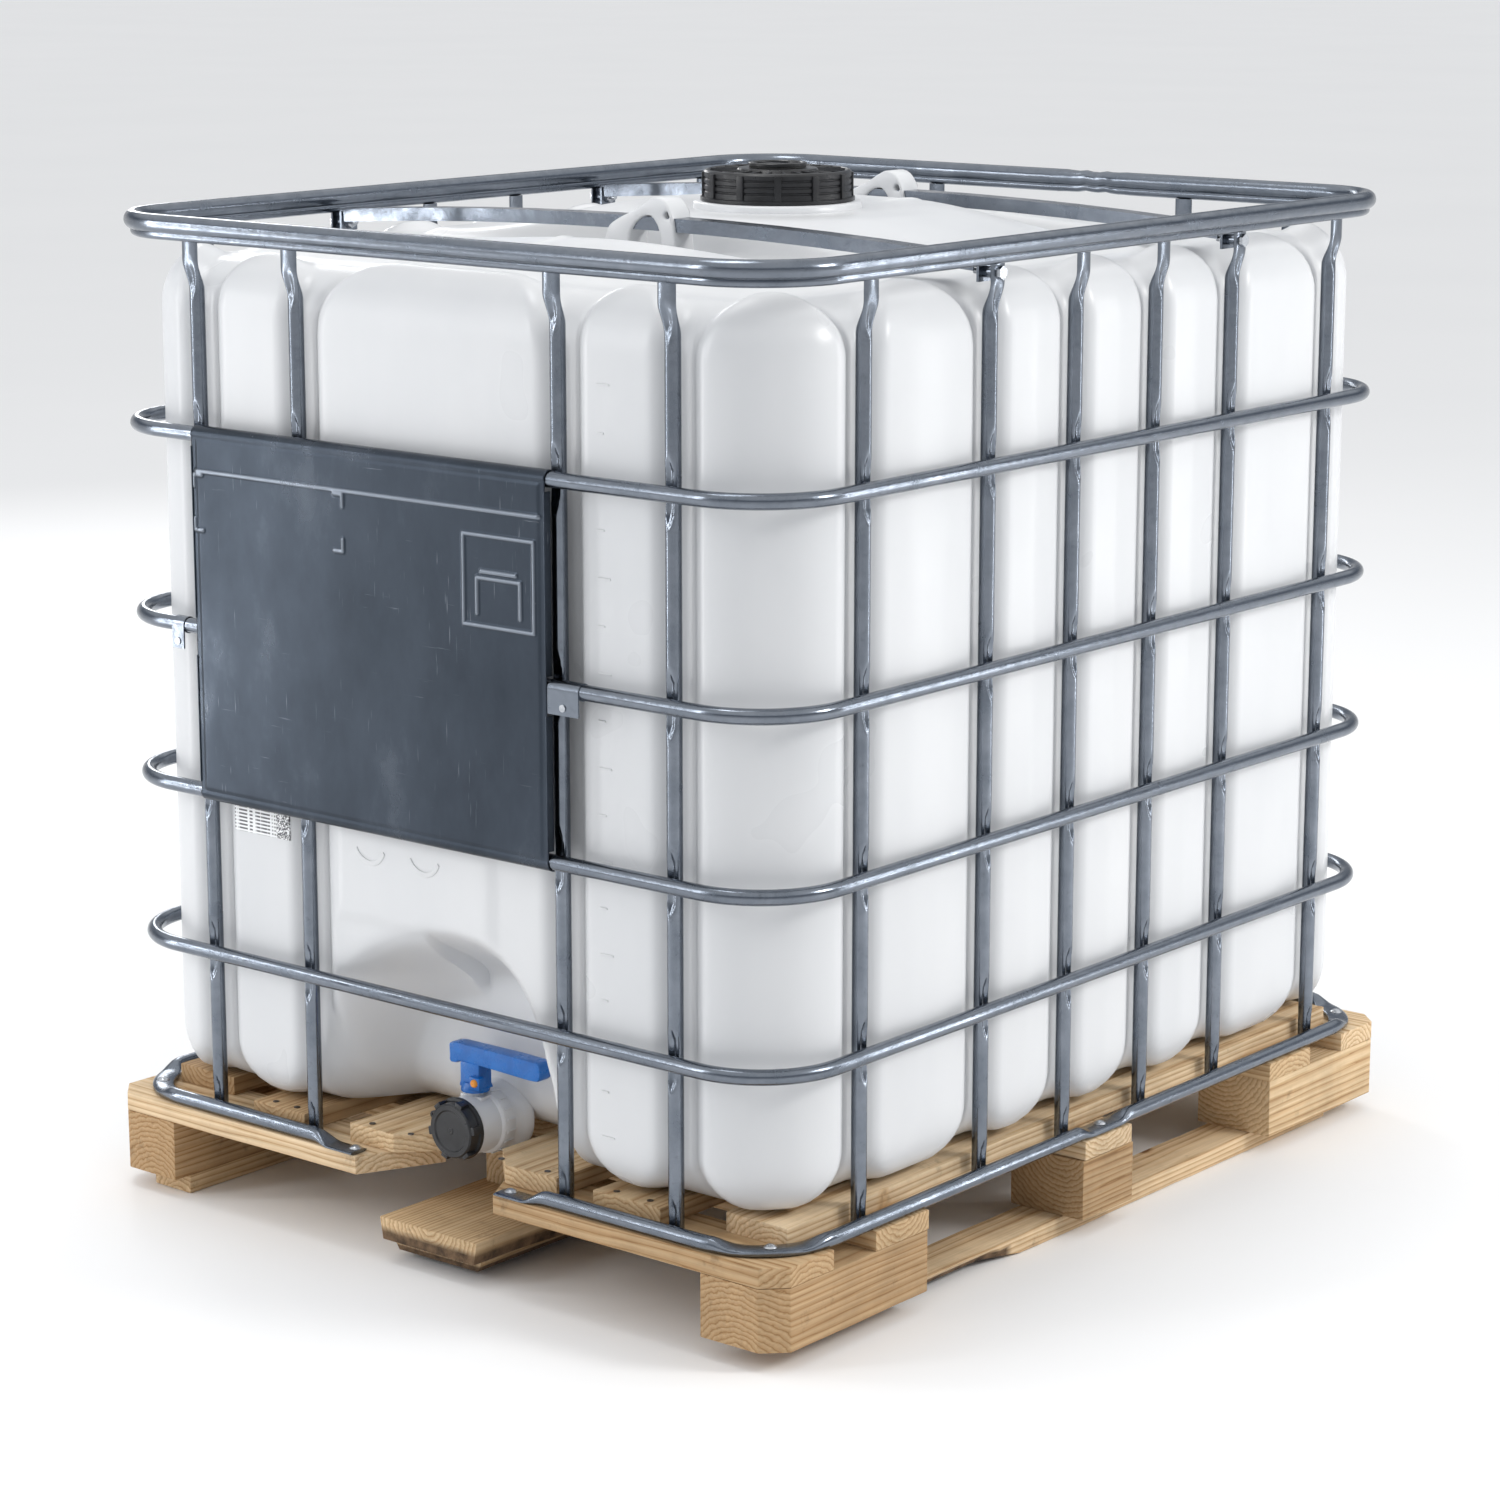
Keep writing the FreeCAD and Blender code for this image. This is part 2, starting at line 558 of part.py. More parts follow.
def bar_clip(x, y):
    """Moulded hump on the bottle that holds a crossbar down; the bar runs through it."""
    half, w = 52.0, BAR_W / 2 + 4.0
    z0 = BAR_TOP - 48.0
    pts = [(x - half, z0), (x - half, 1118), (x - 20, 1146), (x + 8, 1157), (x + 22, 1157), (x + 40, 1140),
           (x + half, z0)]
    loop = [V(px, y - w, pz) for px, pz in pts]
    hump = Part.Face(Part.makePolygon(loop + [loop[0]])).extrude(V(0, 2 * w, 0))
    slot = box(x - 200, x + 200, y - BAR_W / 2 - 0.6, y + BAR_W / 2 + 0.6, BAR_TOP - BAR_H - 1.6, BAR_TOP + 1.0)
    window = cyl(4.5, 4 * w, (x + 18, y - 2 * w, 1146), (0, 1, 0))
    return hump.cut(slot).cut(window).Solids[0]


# ---- fill opening ---------------------------------------------------------------------
LID_R = 85.0
LID_FLANGE_R = 89.5
LID_Z = (1138.0, 1173.0)
PLUG_R = 34.0


def lid():
    """Screw lid with an outer flange, grip ribs and a central vent opening."""
    z0, z1 = LID_Z
    at = (0, LID_Y, z0)
    shell = cyl(LID_R, z1 - z0, at).fuse(cyl(LID_FLANGE_R, 3.5, at))
    cavity = cyl(NECK_R + 2.0, z1 - z0 - 4.0, at)
    body = shell.cut(cavity)
    for k in range(12):
        rib = box(-4, 4, LID_R - 2, LID_R + 2.4, z0 + 3, z1 - 3)
        rib.rotate(V(0, 0, 0), UP, 30 * k + 9)
        rib.translate(V(0, LID_Y, 0))
        body = body.fuse(rib)
    for k in range(24):
        bar = box(-1.5, 1.5, 46, LID_R - 8, z1 - 0.5, z1 + 1.5)
        bar.rotate(V(0, 0, 0), UP, 15 * k)
        bar.translate(V(0, LID_Y, 0))
        body = body.fuse(bar)
    body = body.fuse(tube(42, PLUG_R - 6, 6, (0, LID_Y, z1 - 4)))
    body = body.cut(cyl(PLUG_R - 6, 20, (0, LID_Y, z1 - 10)))
    return body.removeSplitter().Solids[0]


def vent_plug():
    """Small screw plug in the middle of the lid with a recessed centre and a cross bar."""
    z = LID_Z[1] + 3.8
    head = tube(PLUG_R, PLUG_R - 6, 4.0, (0, LID_Y, z))
    floor = cyl(PLUG_R - 5, 2.0, (0, LID_Y, z))
    grip = box(-PLUG_R + 4, PLUG_R - 4, LID_Y - 2, LID_Y + 2, z + 1, z + 3.6)
    shank = tube(PLUG_R - 6.05, PLUG_R - 9, 9.0, (0, LID_Y, z - 8.0))
    return fuse([head, floor, grip, shank])


# ---- valve ----------------------------------------------------------------------------
def valve_body():
    """Barrel with a back flange, a threaded spout and an upright boss for the stem."""
    y_back = RECESS_Y - 20.0
    barrel = cyl(BARREL_R, y_back - BARREL_FRONT, (0, y_back, OUT_Z), (0, -1, 0))
    flange = cyl(33.0, 6.0, (0, y_back, OUT_Z), (0, -1, 0))
    spout = cyl(THREAD_R - 1.6, BARREL_FRONT - SPOUT_FRONT, (0, BARREL_FRONT, OUT_Z), (0, -1, 0))
    threads = [tube(THREAD_R, THREAD_R - 2, 1.6, (0, BARREL_FRONT - 3 - 4 * k, OUT_Z), (0, -1, 0))
               for k in range(3)]
    boss = cyl(8.6, 44.0, (0, STEM_Y, OUT_Z))
    stop = box(-14, 14, STEM_Y - 7, STEM_Y + 7, OUT_Z + 26, OUT_Z + 30)
    body = barrel.fuse(flange).fuse(spout).fuse(boss).fuse(stop)
    for t in threads:
        body = body.fuse(t)
    bore = cyl(BORE_R, 90, (0, y_back + 10, OUT_Z), (0, -1, 0))
    stem_hole = cyl(5.05, 60, (0, STEM_Y, OUT_Z))
    return body.cut(bore).cut(stem_hole).removeSplitter().Solids[0]


def butterfly():
    """Disc closed across the bore on its stem."""
    disc = cyl(DISC_R, 3.0, (0, STEM_Y + 1.5, OUT_Z), (0, -1, 0))
    hub = cyl(4.0, 40.0, (0, STEM_Y, OUT_Z - 20.0))
    hub = hub.common(Part.makeSphere(DISC_R, V(0, STEM_Y, OUT_Z)))
    stem = cyl(5.0, 56.0, (0, STEM_Y, OUT_Z + 14.0))
    return fuse([disc, hub, stem])


def valve_handle():
    """T handle: a collar on the stem and a long bar that points sideways when shut."""
    z0 = OUT_Z + 44.5
    collar = cyl(13.5, 26.0, (0, STEM_Y, z0))
    skirt = tube(16.0, 12.0, 7.0, (0, STEM_Y, z0 - 7.0))
    bar = box(-31, 106, STEM_Y - 11, STEM_Y + 11, z0 + 24, z0 + 47)
    ends = [e for e in bar.Edges if abs(e.Vertexes[0].Z - e.Vertexes[1].Z) > 1]
    bar = bar.makeFillet(9.0, ends)
    trough = box(-20, 96, STEM_Y - 7.5, STEM_Y + 7.5, z0 + 20, z0 + 43).cut(cyl(15, 40, (0, STEM_Y, z0 + 10)))
    lug = box(8, 21, STEM_Y - 17, STEM_Y - 6, z0 + 2, z0 + 13)
    body = collar.fuse(skirt).fuse(bar).cut(trough).fuse(lug)
    body = body.cut(cyl(5.0, 31.0, (0, STEM_Y, z0 - 5)))
    body = body.cut(cyl(3.2, 14, (14.5, STEM_Y - 20, z0 + 7.5), (0, 1, 0)))
    return body.removeSplitter().Solids[0]


def lock_screw():
    z = OUT_Z + 52.0
    head = cyl(4.6, 3.0, (14.5, STEM_Y - 20, z), (0, 1, 0))
    return fuse([head, cyl(3.2, 10.0, (14.5, STEM_Y - 18, z), (0, 1, 0))])


CAP_FRONT = -554.0


def dust_cap():
    """Screw cap over the spout with grip lugs and a tether eye."""
    y0 = CAP_FRONT
    body = cyl(31.0, 18.0, (0, y0, OUT_Z), (0, 1, 0)).fuse(cyl(35.0, 5.0, (0, y0 + 13.0, OUT_Z), (0, 1, 0)))
    for k in range(6):
        lug = box(-5, 5, y0 + 1.5, y0 + 16, 29, 35)
        lug.rotate(V(0, 0, 0), V(0, 1, 0), 60 * k + 20)
        lug.translate(V(0, 0, OUT_Z))
        body = body.fuse(lug)
    eye = tube(4.5, 2.2, 3.0, (-38.0, y0 + 14.0, OUT_Z + 8), (0, 1, 0))
    body = body.fuse(eye)
    cavity = cyl(THREAD_R + 0.4, 20.0, (0, y0 + 2.5, OUT_Z), (0, 1, 0))
    return body.cut(cavity).removeSplitter().Solids[0]


def outlet():
    save("valve_body", [valve_body()])
    y_back = RECESS_Y - 20.0
    save("outlet_nut", [tube(37.0, 33.3, 18.0, (0, y_back + 9.0, OUT_Z), (0, -1, 0)).fuse(
        tube(37.0, 27.8, 4.0, (0, y_back + 9.0, OUT_Z), (0, -1, 0))).Solids[0]])
    save("butterfly_disc", [butterfly()])
    save("valve_handle", [valve_handle()])
    save("lock_screw", [lock_screw()])
    save("dust_cap", [dust_cap()])
    save("cap_seal", [tube(28.0, 20.0, 2.0, (0, CAP_FRONT + 2.6, OUT_Z), (0, 1, 0))])


def top():
    save("bottle", [bottle()])
    save("bar_clip_front", [bar_clip(5.0, UPRIGHT_Y[1])])
    save("bar_clip_back", [bar_clip(-30.0, UPRIGHT_Y[4])])
    save("lid", [lid()])
    save("lid_gasket", [tube(NECK_R + 1.0, NECK_BORE - 2, 2.6, (0, LID_Y, NECK_TOP + 0.1))])
    save("vent_plug", [vent_plug()])
    save("vent_seal", [tube(PLUG_R - 1, PLUG_R - 5.7, 1.6, (0, LID_Y, LID_Z[1] + 2.1))])


os.makedirs("parts", exist_ok=True)
pallet()
cage()
top()
outlet()
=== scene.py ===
import math

import bmesh
import bpy
import numpy as np
from mathutils import Matrix, Vector, noise


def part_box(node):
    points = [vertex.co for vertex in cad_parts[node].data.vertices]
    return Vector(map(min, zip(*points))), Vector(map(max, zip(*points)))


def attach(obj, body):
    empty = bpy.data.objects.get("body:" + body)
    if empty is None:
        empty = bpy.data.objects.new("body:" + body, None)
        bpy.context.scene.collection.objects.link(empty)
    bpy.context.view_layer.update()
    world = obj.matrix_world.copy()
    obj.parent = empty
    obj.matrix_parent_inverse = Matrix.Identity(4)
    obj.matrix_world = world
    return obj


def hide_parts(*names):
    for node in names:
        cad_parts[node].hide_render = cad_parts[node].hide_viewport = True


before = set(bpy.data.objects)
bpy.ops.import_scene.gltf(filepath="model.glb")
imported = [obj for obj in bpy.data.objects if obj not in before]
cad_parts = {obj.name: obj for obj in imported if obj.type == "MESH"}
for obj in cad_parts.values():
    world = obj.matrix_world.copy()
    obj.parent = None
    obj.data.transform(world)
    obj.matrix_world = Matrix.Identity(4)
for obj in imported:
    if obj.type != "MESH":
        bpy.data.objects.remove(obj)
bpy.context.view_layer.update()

# Intermediate bulk container. Metres, +Z up, the outlet and the label plate at -Y.
# Sizes that CAD settles are read from the frame; the rest is what shows on the surfaces.


# ---- sizes read from the frame
def low(node):
    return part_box(node)[0]


def high(node):
    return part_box(node)[1]


RINGS = ("ring_lower", "ring_plate_low", "ring_plate_mid", "ring_plate_top")
TUBE_R = (high("ring_lower").z - low("ring_lower").z) / 2
CAGE_X = high("ring_lower").x - TUBE_R
CAGE_Y = high("ring_lower").y - TUBE_R
CAGE_CORNER = 0.1
RING_Z = [(low(n).z + high(n).z) / 2 for n in RINGS]
DECK_Z = low("base_rail").z
BASE_Z = DECK_Z + TUBE_R
RAIL_TOP = high("top_rail").z
UPRIGHT_TOP = high("uprights_front").z
UPRIGHT_X = (-0.3445, -0.19, 0.19, 0.3445)
UPRIGHT_Y = (-0.43, -0.2145, -0.0575, 0.097, 0.2515, 0.46)
BAR_Y = (UPRIGHT_Y[1], UPRIGHT_Y[4])
GAP_LEFT, GAP_RIGHT = -0.1015, 0.1065
LID_Y = (low("lid").y + high("lid").y) / 2
OUT_Z = 0.152
STEM_Y = -0.512


# ---- shader helpers: the node tree is taken from the first socket where there is one
def node(tree, kind, inputs=None, **settings):
    """Adds a shader node; inputs are numbers, colours or sockets to link."""
    made = tree.nodes.new("ShaderNode" + kind)
    for key, value in settings.items():
        setattr(made, key, value)
    for key, value in (inputs or {}).items():
        if isinstance(value, bpy.types.NodeSocket):
            tree.links.new(value, made.inputs[key])
        else:
            made.inputs[key].default_value = value
    return made


def material(name, **constants):
    """New material and its node tree; constants go straight on the shader's sockets."""
    made = bpy.data.materials.new(name)
    made.use_nodes = True
    shader = made.node_tree.nodes["Principled BSDF"]
    for key, value in constants.items():
        shader.inputs[key.replace("_", " ")].default_value = value
    return made, made.node_tree, shader


def wire(shader, **sockets):
    """Links sockets to the shader's inputs of that name, with _ for a space."""
    for key, value in sockets.items():
        shader.id_data.links.new(value, shader.inputs[key.replace("_", " ")])


def ramp(fac, stops):
    """Colour ramp over (position, colour) stops."""
    made = node(fac.id_data, "ValToRGB", {"Fac": fac})
    elements = made.color_ramp.elements
    while len(elements) < len(stops):
        elements.new(0.5)
    for element, (position, colour) in zip(elements, stops):
        element.position = position
        element.color = (*colour, 1.0)
    return made.outputs["Color"]


def span(value, low_out, high_out, low_in=0.3, high_in=0.7):
    """The value carried over from one range to another, and held at its ends."""
    return node(value.id_data, "MapRange", {
        "Value": value, "From Min": low_in, "From Max": high_in,
        "To Min": low_out, "To Max": high_out}).outputs["Result"]


def mottle(vector, scale, detail=4.0, rough=0.6):
    return node(vector.id_data, "TexNoise", {
        "Vector": vector, "Scale": scale, "Detail": detail, "Roughness": rough}).outputs["Fac"]


def bump(height, distance, strength, normal=None):
    inputs = {"Height": height, "Distance": distance, "Strength": strength}
    if normal is not None:
        inputs["Normal"] = normal
    return node(height.id_data, "Bump", inputs).outputs["Normal"]


def stretched(vector, scale, turn=0.0):
    """Coordinates scaled and then turned about Y."""
    inputs = {"Vector": vector, "Scale": scale, "Rotation": (0.0, turn, 0.0)}
    return node(vector.id_data, "Mapping", inputs).outputs["Vector"]


def object_space(tree):
    return node(tree, "TexCoord").outputs["Object"]


def mixed(tree, fac, a, b, blend="MIX"):
    """Mix of two colours; each of fac, a and b is a plain value or a socket."""
    ends = {0: fac, 6: a, 7: b}          # the Mix node's factor and its two colours
    ends = {key: (*value, 1.0) if isinstance(value, tuple) else value for key, value in ends.items()}
    return node(tree, "Mix", ends, data_type="RGBA", blend_type=blend).outputs[2]


def darkened(colour, strength):
    """The colour multiplied by a grey of that strength."""
    grey = node(colour.id_data, "CombineColor", {"Red": strength, "Green": strength, "Blue": strength})
    return mixed(colour.id_data, 1.0, colour, grey.outputs["Color"], "MULTIPLY")


def maths(operation, a, b):
    return node(a.id_data, "Math", {0: a, 1: b}, operation=operation).outputs[0]


def attribute(tree, name, output="Fac"):
    return node(tree, "Attribute", attribute_name=name).outputs[output]


# ---- materials
def steel(name, dark, light, rough, mottle_scale=28.0):
    """Zinc-coated steel: cloudy tint, fine grain, a few dull spots."""
    made, tree, shader = material(name, Metallic=1.0)
    where = object_space(tree)
    cloud = mottle(where, mottle_scale, 5.0, 0.62)
    fine = mottle(where, 640.0, 3.0, 0.7)
    tint = ramp(cloud, [(0.3, dark), (0.7, light)])
    spots = span(mottle(where, 130.0, 4.0, 0.75), 1.0, 0.72, 0.6, 0.74)
    wave = bump(mottle(where, 55.0, 2.0), 0.0006, 0.5)
    wire(shader, Base_Color=darkened(tint, spots),
         Roughness=span(cloud, rough + 0.1, rough - 0.05),
         Normal=bump(fine, 0.00006, 0.6, wave))
    return made


def sheet_steel():
    """The label plate: dark painted sheet with handling scratches and smudges."""
    made, tree, shader = material("plate_finish", Metallic=0.86)
    where = object_space(tree)
    smudge = mottle(stretched(where, (1.0, 1.0, 0.55)), 7.0, 6.0, 0.65)
    tint = ramp(smudge, [(0.28, (0.026, 0.034, 0.046)), (0.55, (0.042, 0.053, 0.07)),
                               (0.78, (0.09, 0.106, 0.13))])
    down = mottle(stretched(where, (1.0, 1.0, 0.05), 0.22), 420.0, 2.0, 0.5)
    across = mottle(stretched(where, (0.06, 1.0, 1.0), -0.35), 300.0, 2.0, 0.5)
    both = maths("MAXIMUM", span(down, 0.0, 1.0, 0.7, 0.8),
                 span(across, 0.0, 0.7, 0.72, 0.82))
    patch = span(mottle(where, 9.0, 3.0), 0.0, 1.0, 0.45, 0.62)
    scratch = maths("MULTIPLY", both, patch)
    # raised ridges lightened towards paler metal: partly rubbed wear, partly a painted highlight of the
    # ridges catching the light
    ridge_wear_and_highlight = span(attribute(tree, "mark"), 0.0, 0.46, 0.35, 1.0)
    tint = mixed(tree, ridge_wear_and_highlight, tint, (0.36, 0.4, 0.46))
    dents = bump(mottle(where, 4.5, 2.0), 0.004, 0.35)
    wire(shader, Base_Color=mixed(tree, scratch, tint, (0.2, 0.22, 0.25)),
         Roughness=span(smudge, 0.38, 0.24), Normal=bump(scratch, 0.0001, 0.5, dents))
    return made


def blown_plastic():
    """Milky blow-moulded bottle wall."""
    made, tree, shader = material("bottle_finish", Subsurface_Weight=0.15, Subsurface_Scale=0.012,
                                  IOR=1.5, Specular_IOR_Level=0.42)
    shader.inputs["Subsurface Radius"].default_value = (1.0, 1.0, 1.05)
    where = object_space(tree)
    wall = mottle(stretched(where, (1.0, 1.0, 0.35)), 5.0, 4.0, 0.5)
    tint = ramp(wall, [(0.3, (0.64, 0.652, 0.668)), (0.7, (0.705, 0.712, 0.722))])
    wire(shader, Base_Color=tint, Roughness=span(mottle(where, 6.0, 2.0), 0.27, 0.36),
         Normal=bump(mottle(where, 6.5, 1.0), 0.0045, 0.5))
    return made


def moulded_plastic(name, dark, light, rough):
    """Injection-moulded plastic with a faint texture and rubbed patches."""
    made, tree, shader = material(name, IOR=1.5)
    where = object_space(tree)
    patch = mottle(where, 38.0, 5.0, 0.6)
    wire(shader, Base_Color=ramp(patch, [(0.32, dark), (0.7, light)]),
         Roughness=span(patch, rough + 0.08, rough - 0.06),
         Normal=bump(mottle(where, 900.0, 3.0, 0.7), 0.00012, 0.8))
    return made


def pine_wood():
    """Sawn softwood. The grain attribute holds board coordinates: x along the fibres, pith at 0."""
    made, tree, shader = material("pine_finish", IOR=1.45, Specular_IOR_Level=0.25)
    grain = attribute(tree, "grain", "Vector")
    where = object_space(tree)
    slow = stretched(grain, (0.045, 1.0, 1.0))
    rings = node(tree, "TexWave", {
        "Vector": slow, "Scale": 52.0, "Distortion": 5.0, "Detail": 3.0, "Detail Scale": 1.6,
        "Detail Roughness": 0.55}, wave_type="RINGS", rings_direction="X",
        wave_profile="SAW").outputs["Fac"]
    fibre = mottle(stretched(grain, (7.0, 260.0, 260.0)), 1.0, 4.0, 0.65)
    early = ramp(rings, [(0.0, (0.4, 0.235, 0.11)), (0.15, (0.64, 0.445, 0.255)),
                               (0.72, (0.78, 0.6, 0.385)), (1.0, (0.56, 0.37, 0.19))])
    fibres = ramp(fibre, [(0.25, (0.74, 0.72, 0.68)), (0.65, (1.0, 1.0, 1.0))])
    wood = mixed(tree, 0.85, early, fibres, "MULTIPLY")
    # knots
    cells = node(tree, "TexVoronoi", {
        "Vector": stretched(grain, (6.4, 9.5, 1.4)), "Scale": 1.0, "Randomness": 1.0})
    wobble = span(mottle(grain, 90.0), -0.012, 0.012)
    knot = maths("ADD", cells.outputs["Distance"], wobble)
    knot_tint = ramp(knot, [(0.0, (0.16, 0.075, 0.03)), (0.045, (0.3, 0.15, 0.06)),
                                  (0.075, (0.17, 0.08, 0.032)), (0.1, (0.52, 0.31, 0.14))])
    knot_mask = span(knot, 1.0, 0.0, 0.075, 0.125)
    wood = mixed(tree, knot_mask, wood, knot_tint)
    # sap stain, handling dirt and each board's own tone
    stain = span(mottle(stretched(where, (2.2, 2.2, 2.2)), 1.6, 6.0, 0.7),
                 1.0, 0.72, 0.46, 0.7)
    wood = darkened(wood, stain)
    scuff = span(mottle(where, 24.0, 5.0, 0.75), 1.0, 0.62, 0.6, 0.74)
    wood = darkened(wood, scuff)
    shade = ramp(attribute(tree, "tone"), [(0.0, (0.66, 0.58, 0.5)), (0.5, (0.95, 0.93, 0.9)),
                                                 (1.0, (1.14, 1.18, 1.26))])
    wood = mixed(tree, 1.0, wood, shade, "MULTIPLY")
    bark = span(attribute(tree, "mark"), 0.0, 1.0, 0.35, 0.65)
    bark_tint = ramp(mottle(where, 60.0, 5.0), [(0.35, (0.055, 0.035, 0.022)),
                                                                   (0.65, (0.2, 0.125, 0.07))])
    wood = mixed(tree, bark, wood, bark_tint)
    sawn = bump(fibre, 0.0007, 0.7)
    wire(shader, Base_Color=wood, Roughness=span(fibre, 0.62, 0.82),
         Normal=bump(rings, 0.0003, 0.35, sawn))
    return made


def printed_label():
    """Small white sticker with grey bars and a block of random squares; it says nothing."""
    made, tree, shader = material("sticker_finish", Roughness=0.5)
    where = object_space(tree)
    parts = node(tree, "SeparateXYZ", {"Vector": where})
    row_pitch, dot_pitch, dots_from = 0.0042, 0.0012, -0.2425
    row = maths("FLOORED_MODULO", parts.outputs["Z"], row_pitch)
    in_row = span(row, 1.0, 0.0, 0.0018, 0.0022)
    bars = mottle(stretched(where, (1.0, 1.0, 0.01)), 260.0, 1.0)
    ink = maths("MULTIPLY", in_row, span(bars, 0.0, 1.0, 0.44, 0.48))
    cells = node(tree, "VectorMath", {0: where, 1: (dot_pitch, 1.0, dot_pitch)}, operation="SNAP")
    dots = node(tree, "TexWhiteNoise", {"Vector": cells.outputs["Vector"]}).outputs["Value"]
    dots = span(dots, 0.0, 1.0, 0.49, 0.51)
    right = span(parts.outputs["X"], 0.0, 1.0, dots_from, dots_from + 0.0001)
    ink = node(tree, "Mix", {0: right, 2: ink, 3: dots}, data_type="FLOAT").outputs[0]
    wire(shader, Base_Color=mixed(tree, ink, (0.86, 0.87, 0.88), (0.1, 0.1, 0.11)))
    return made


GALVANISED = steel("tube_finish", (0.15, 0.172, 0.205), (0.215, 0.238, 0.275), 0.2)
ZINC = steel("bolt_finish", (0.34, 0.36, 0.39), (0.6, 0.62, 0.65), 0.26, 90.0)
NAIL = steel("nail_finish", (0.1, 0.085, 0.075), (0.26, 0.24, 0.22), 0.42, 160.0)
PLATE = sheet_steel()
BOTTLE = blown_plastic()
BLACK = moulded_plastic("black_finish", (0.008, 0.008, 0.009), (0.024, 0.025, 0.028), 0.32)
RUBBER = moulded_plastic("seal_finish", (0.01, 0.01, 0.01), (0.035, 0.035, 0.035), 0.66)
BLUE = moulded_plastic("handle_finish", (0.0, 0.092, 0.36), (0.004, 0.15, 0.52), 0.28)
GREY = moulded_plastic("disc_finish", (0.36, 0.37, 0.38), (0.48, 0.49, 0.5), 0.42)
ORANGE = moulded_plastic("lock_finish", (0.72, 0.24, 0.02), (0.9, 0.4, 0.06), 0.34)
PINE = pine_wood()
STICKER = printed_label()


# ---- mesh helpers
class Shape:
    """Vertices and faces of one piece, gathered part by part.

    Points may carry grain (board coordinates), tone (a board's shade) and mark: bark on wood,
    a ridge on the plate that its finish lightens as rubbed wear and as a painted highlight.
    """

    def __init__(self):
        self.verts, self.faces = [], []
        self.extra = {"grain": [], "tone": [], "mark": []}

    def add(self, verts, faces, grain=None, tone=0.5, mark=None):
        start = len(self.verts)
        self.verts.extend([tuple(map(float, v)) for v in verts])
        self.faces.extend([tuple(start + int(i) for i in face) for face in faces])
        if grain is not None:
            self.extra["grain"].extend(grain)
            self.extra["tone"].extend([tone] * len(verts))
            self.extra["mark"].extend(mark if mark is not None else [0.0] * len(verts))

    def add_bmesh(self, bm, matrix=None, **keys):
        if matrix is not None:
            bm.transform(matrix)
        bm.verts.index_update()
        self.add([v.co for v in bm.verts], [[v.index for v in f.verts] for f in bm.faces], **keys)
        bm.free()

    def piece(self, name, finish, body, stands_for=(), sharp=35.0):
        """Makes the object, gives it its finish and hangs it on its CAD body."""
        mesh = bpy.data.meshes.new(name)
        mesh.from_pydata(self.verts, [], self.faces)
        if len(self.extra["grain"]) == len(self.verts):
            for key, kind in (("grain", "FLOAT_VECTOR"), ("tone", "FLOAT"), ("mark", "FLOAT")):
                layer = mesh.attributes.new(key, kind, "POINT")
                flat = np.array(self.extra[key], np.float32).ravel()
                layer.data.foreach_set("vector" if kind == "FLOAT_VECTOR" else "value", flat)
        bm = bmesh.new()
        bm.from_mesh(mesh)
        bmesh.ops.recalc_face_normals(bm, faces=bm.faces)
        bm.to_mesh(mesh)
        bm.free()
        mesh.shade_smooth()
        mesh.set_sharp_from_angle(angle=math.radians(sharp))
        mesh.materials.append(finish)
        made = bpy.data.objects.new(name, mesh)
        bpy.context.scene.collection.objects.link(made)
        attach(made, body)
        if stands_for:
            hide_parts(*stands_for)
        return made


def smooth(t):
    """Soft step from 0 to 1."""
    t = np.clip(t, 0.0, 1.0)
    return t * t * (3 - 2 * t)


def mm(points, start=0.0):
    """Points in millimetres as metres; the second coordinate is counted from start."""
    return [(a / 1000, b / 1000 + start) for a, b in points]


def grid(rows, columns, wrap_columns=True, wrap_rows=False):
    """Quads over a rows x columns grid of vertices."""
    last_row = rows if wrap_rows else rows - 1
    last_column = columns if wrap_columns else columns - 1
    i, j = np.meshgrid(np.arange(last_row), np.arange(last_column), indexing="ij")
    a = i * columns + j
    b = i * columns + (j + 1) % columns
    c = ((i + 1) % rows) * columns + (j + 1) % columns
    d = ((i + 1) % rows) * columns + j
    return np.stack([a, b, c, d], -1).reshape(-1, 4).tolist()


def tube_faces(rows, columns):
    """Faces of a tube of rows x columns vertices, closed at both ends."""
    return grid(rows, columns) + [range(columns), range((rows - 1) * columns, rows * columns)]


def turned(profile, steps, centre):
    """Closed lathe about a vertical axis through centre: profile of (radius, height)."""
    angle = np.linspace(0, 2 * math.pi, steps, endpoint=False)
    r, z = np.array(profile, float).T
    x, y = r[:, None] * np.cos(angle), r[:, None] * np.sin(angle)
    verts = np.stack([x, y, np.repeat(z[:, None], steps, 1)], -1).reshape(-1, 3)
    return verts + np.array(centre), grid(len(profile), steps, wrap_rows=True)


def soft_corners(points, radius):
    """Profile with each corner rounded by a short arc of two steps."""
    made = []
    points = [Vector(p) for p in points]
    for k, p in enumerate(points):
        a, b = points[k - 1] - p, points[(k + 1) % len(points)] - p
        cut = min(radius, a.length * 0.45, b.length * 0.45)
        start, end = p + a.normalized() * cut, p + b.normalized() * cut
        for t in (0, 0.5, 1):
            made.append(tuple(start * (1 - t) ** 2 + p * 2 * t * (1 - t) + end * t * t))
    return made


def block(lo, hi, bevel):
    """Box with rounded edges, as a bmesh."""
    bm = bmesh.new()
    bmesh.ops.create_cube(bm, size=1.0)
    size = Vector(hi) - Vector(lo)
    for v in bm.verts:
        v.co = Vector(c * s for c, s in zip(v.co, size)) + (Vector(lo) + Vector(hi)) / 2
    bmesh.ops.bevel(bm, geom=bm.edges[:], offset=min(bevel, min(size) * 0.45), segments=2,
                    profile=0.7, affect="EDGES")
    return bm


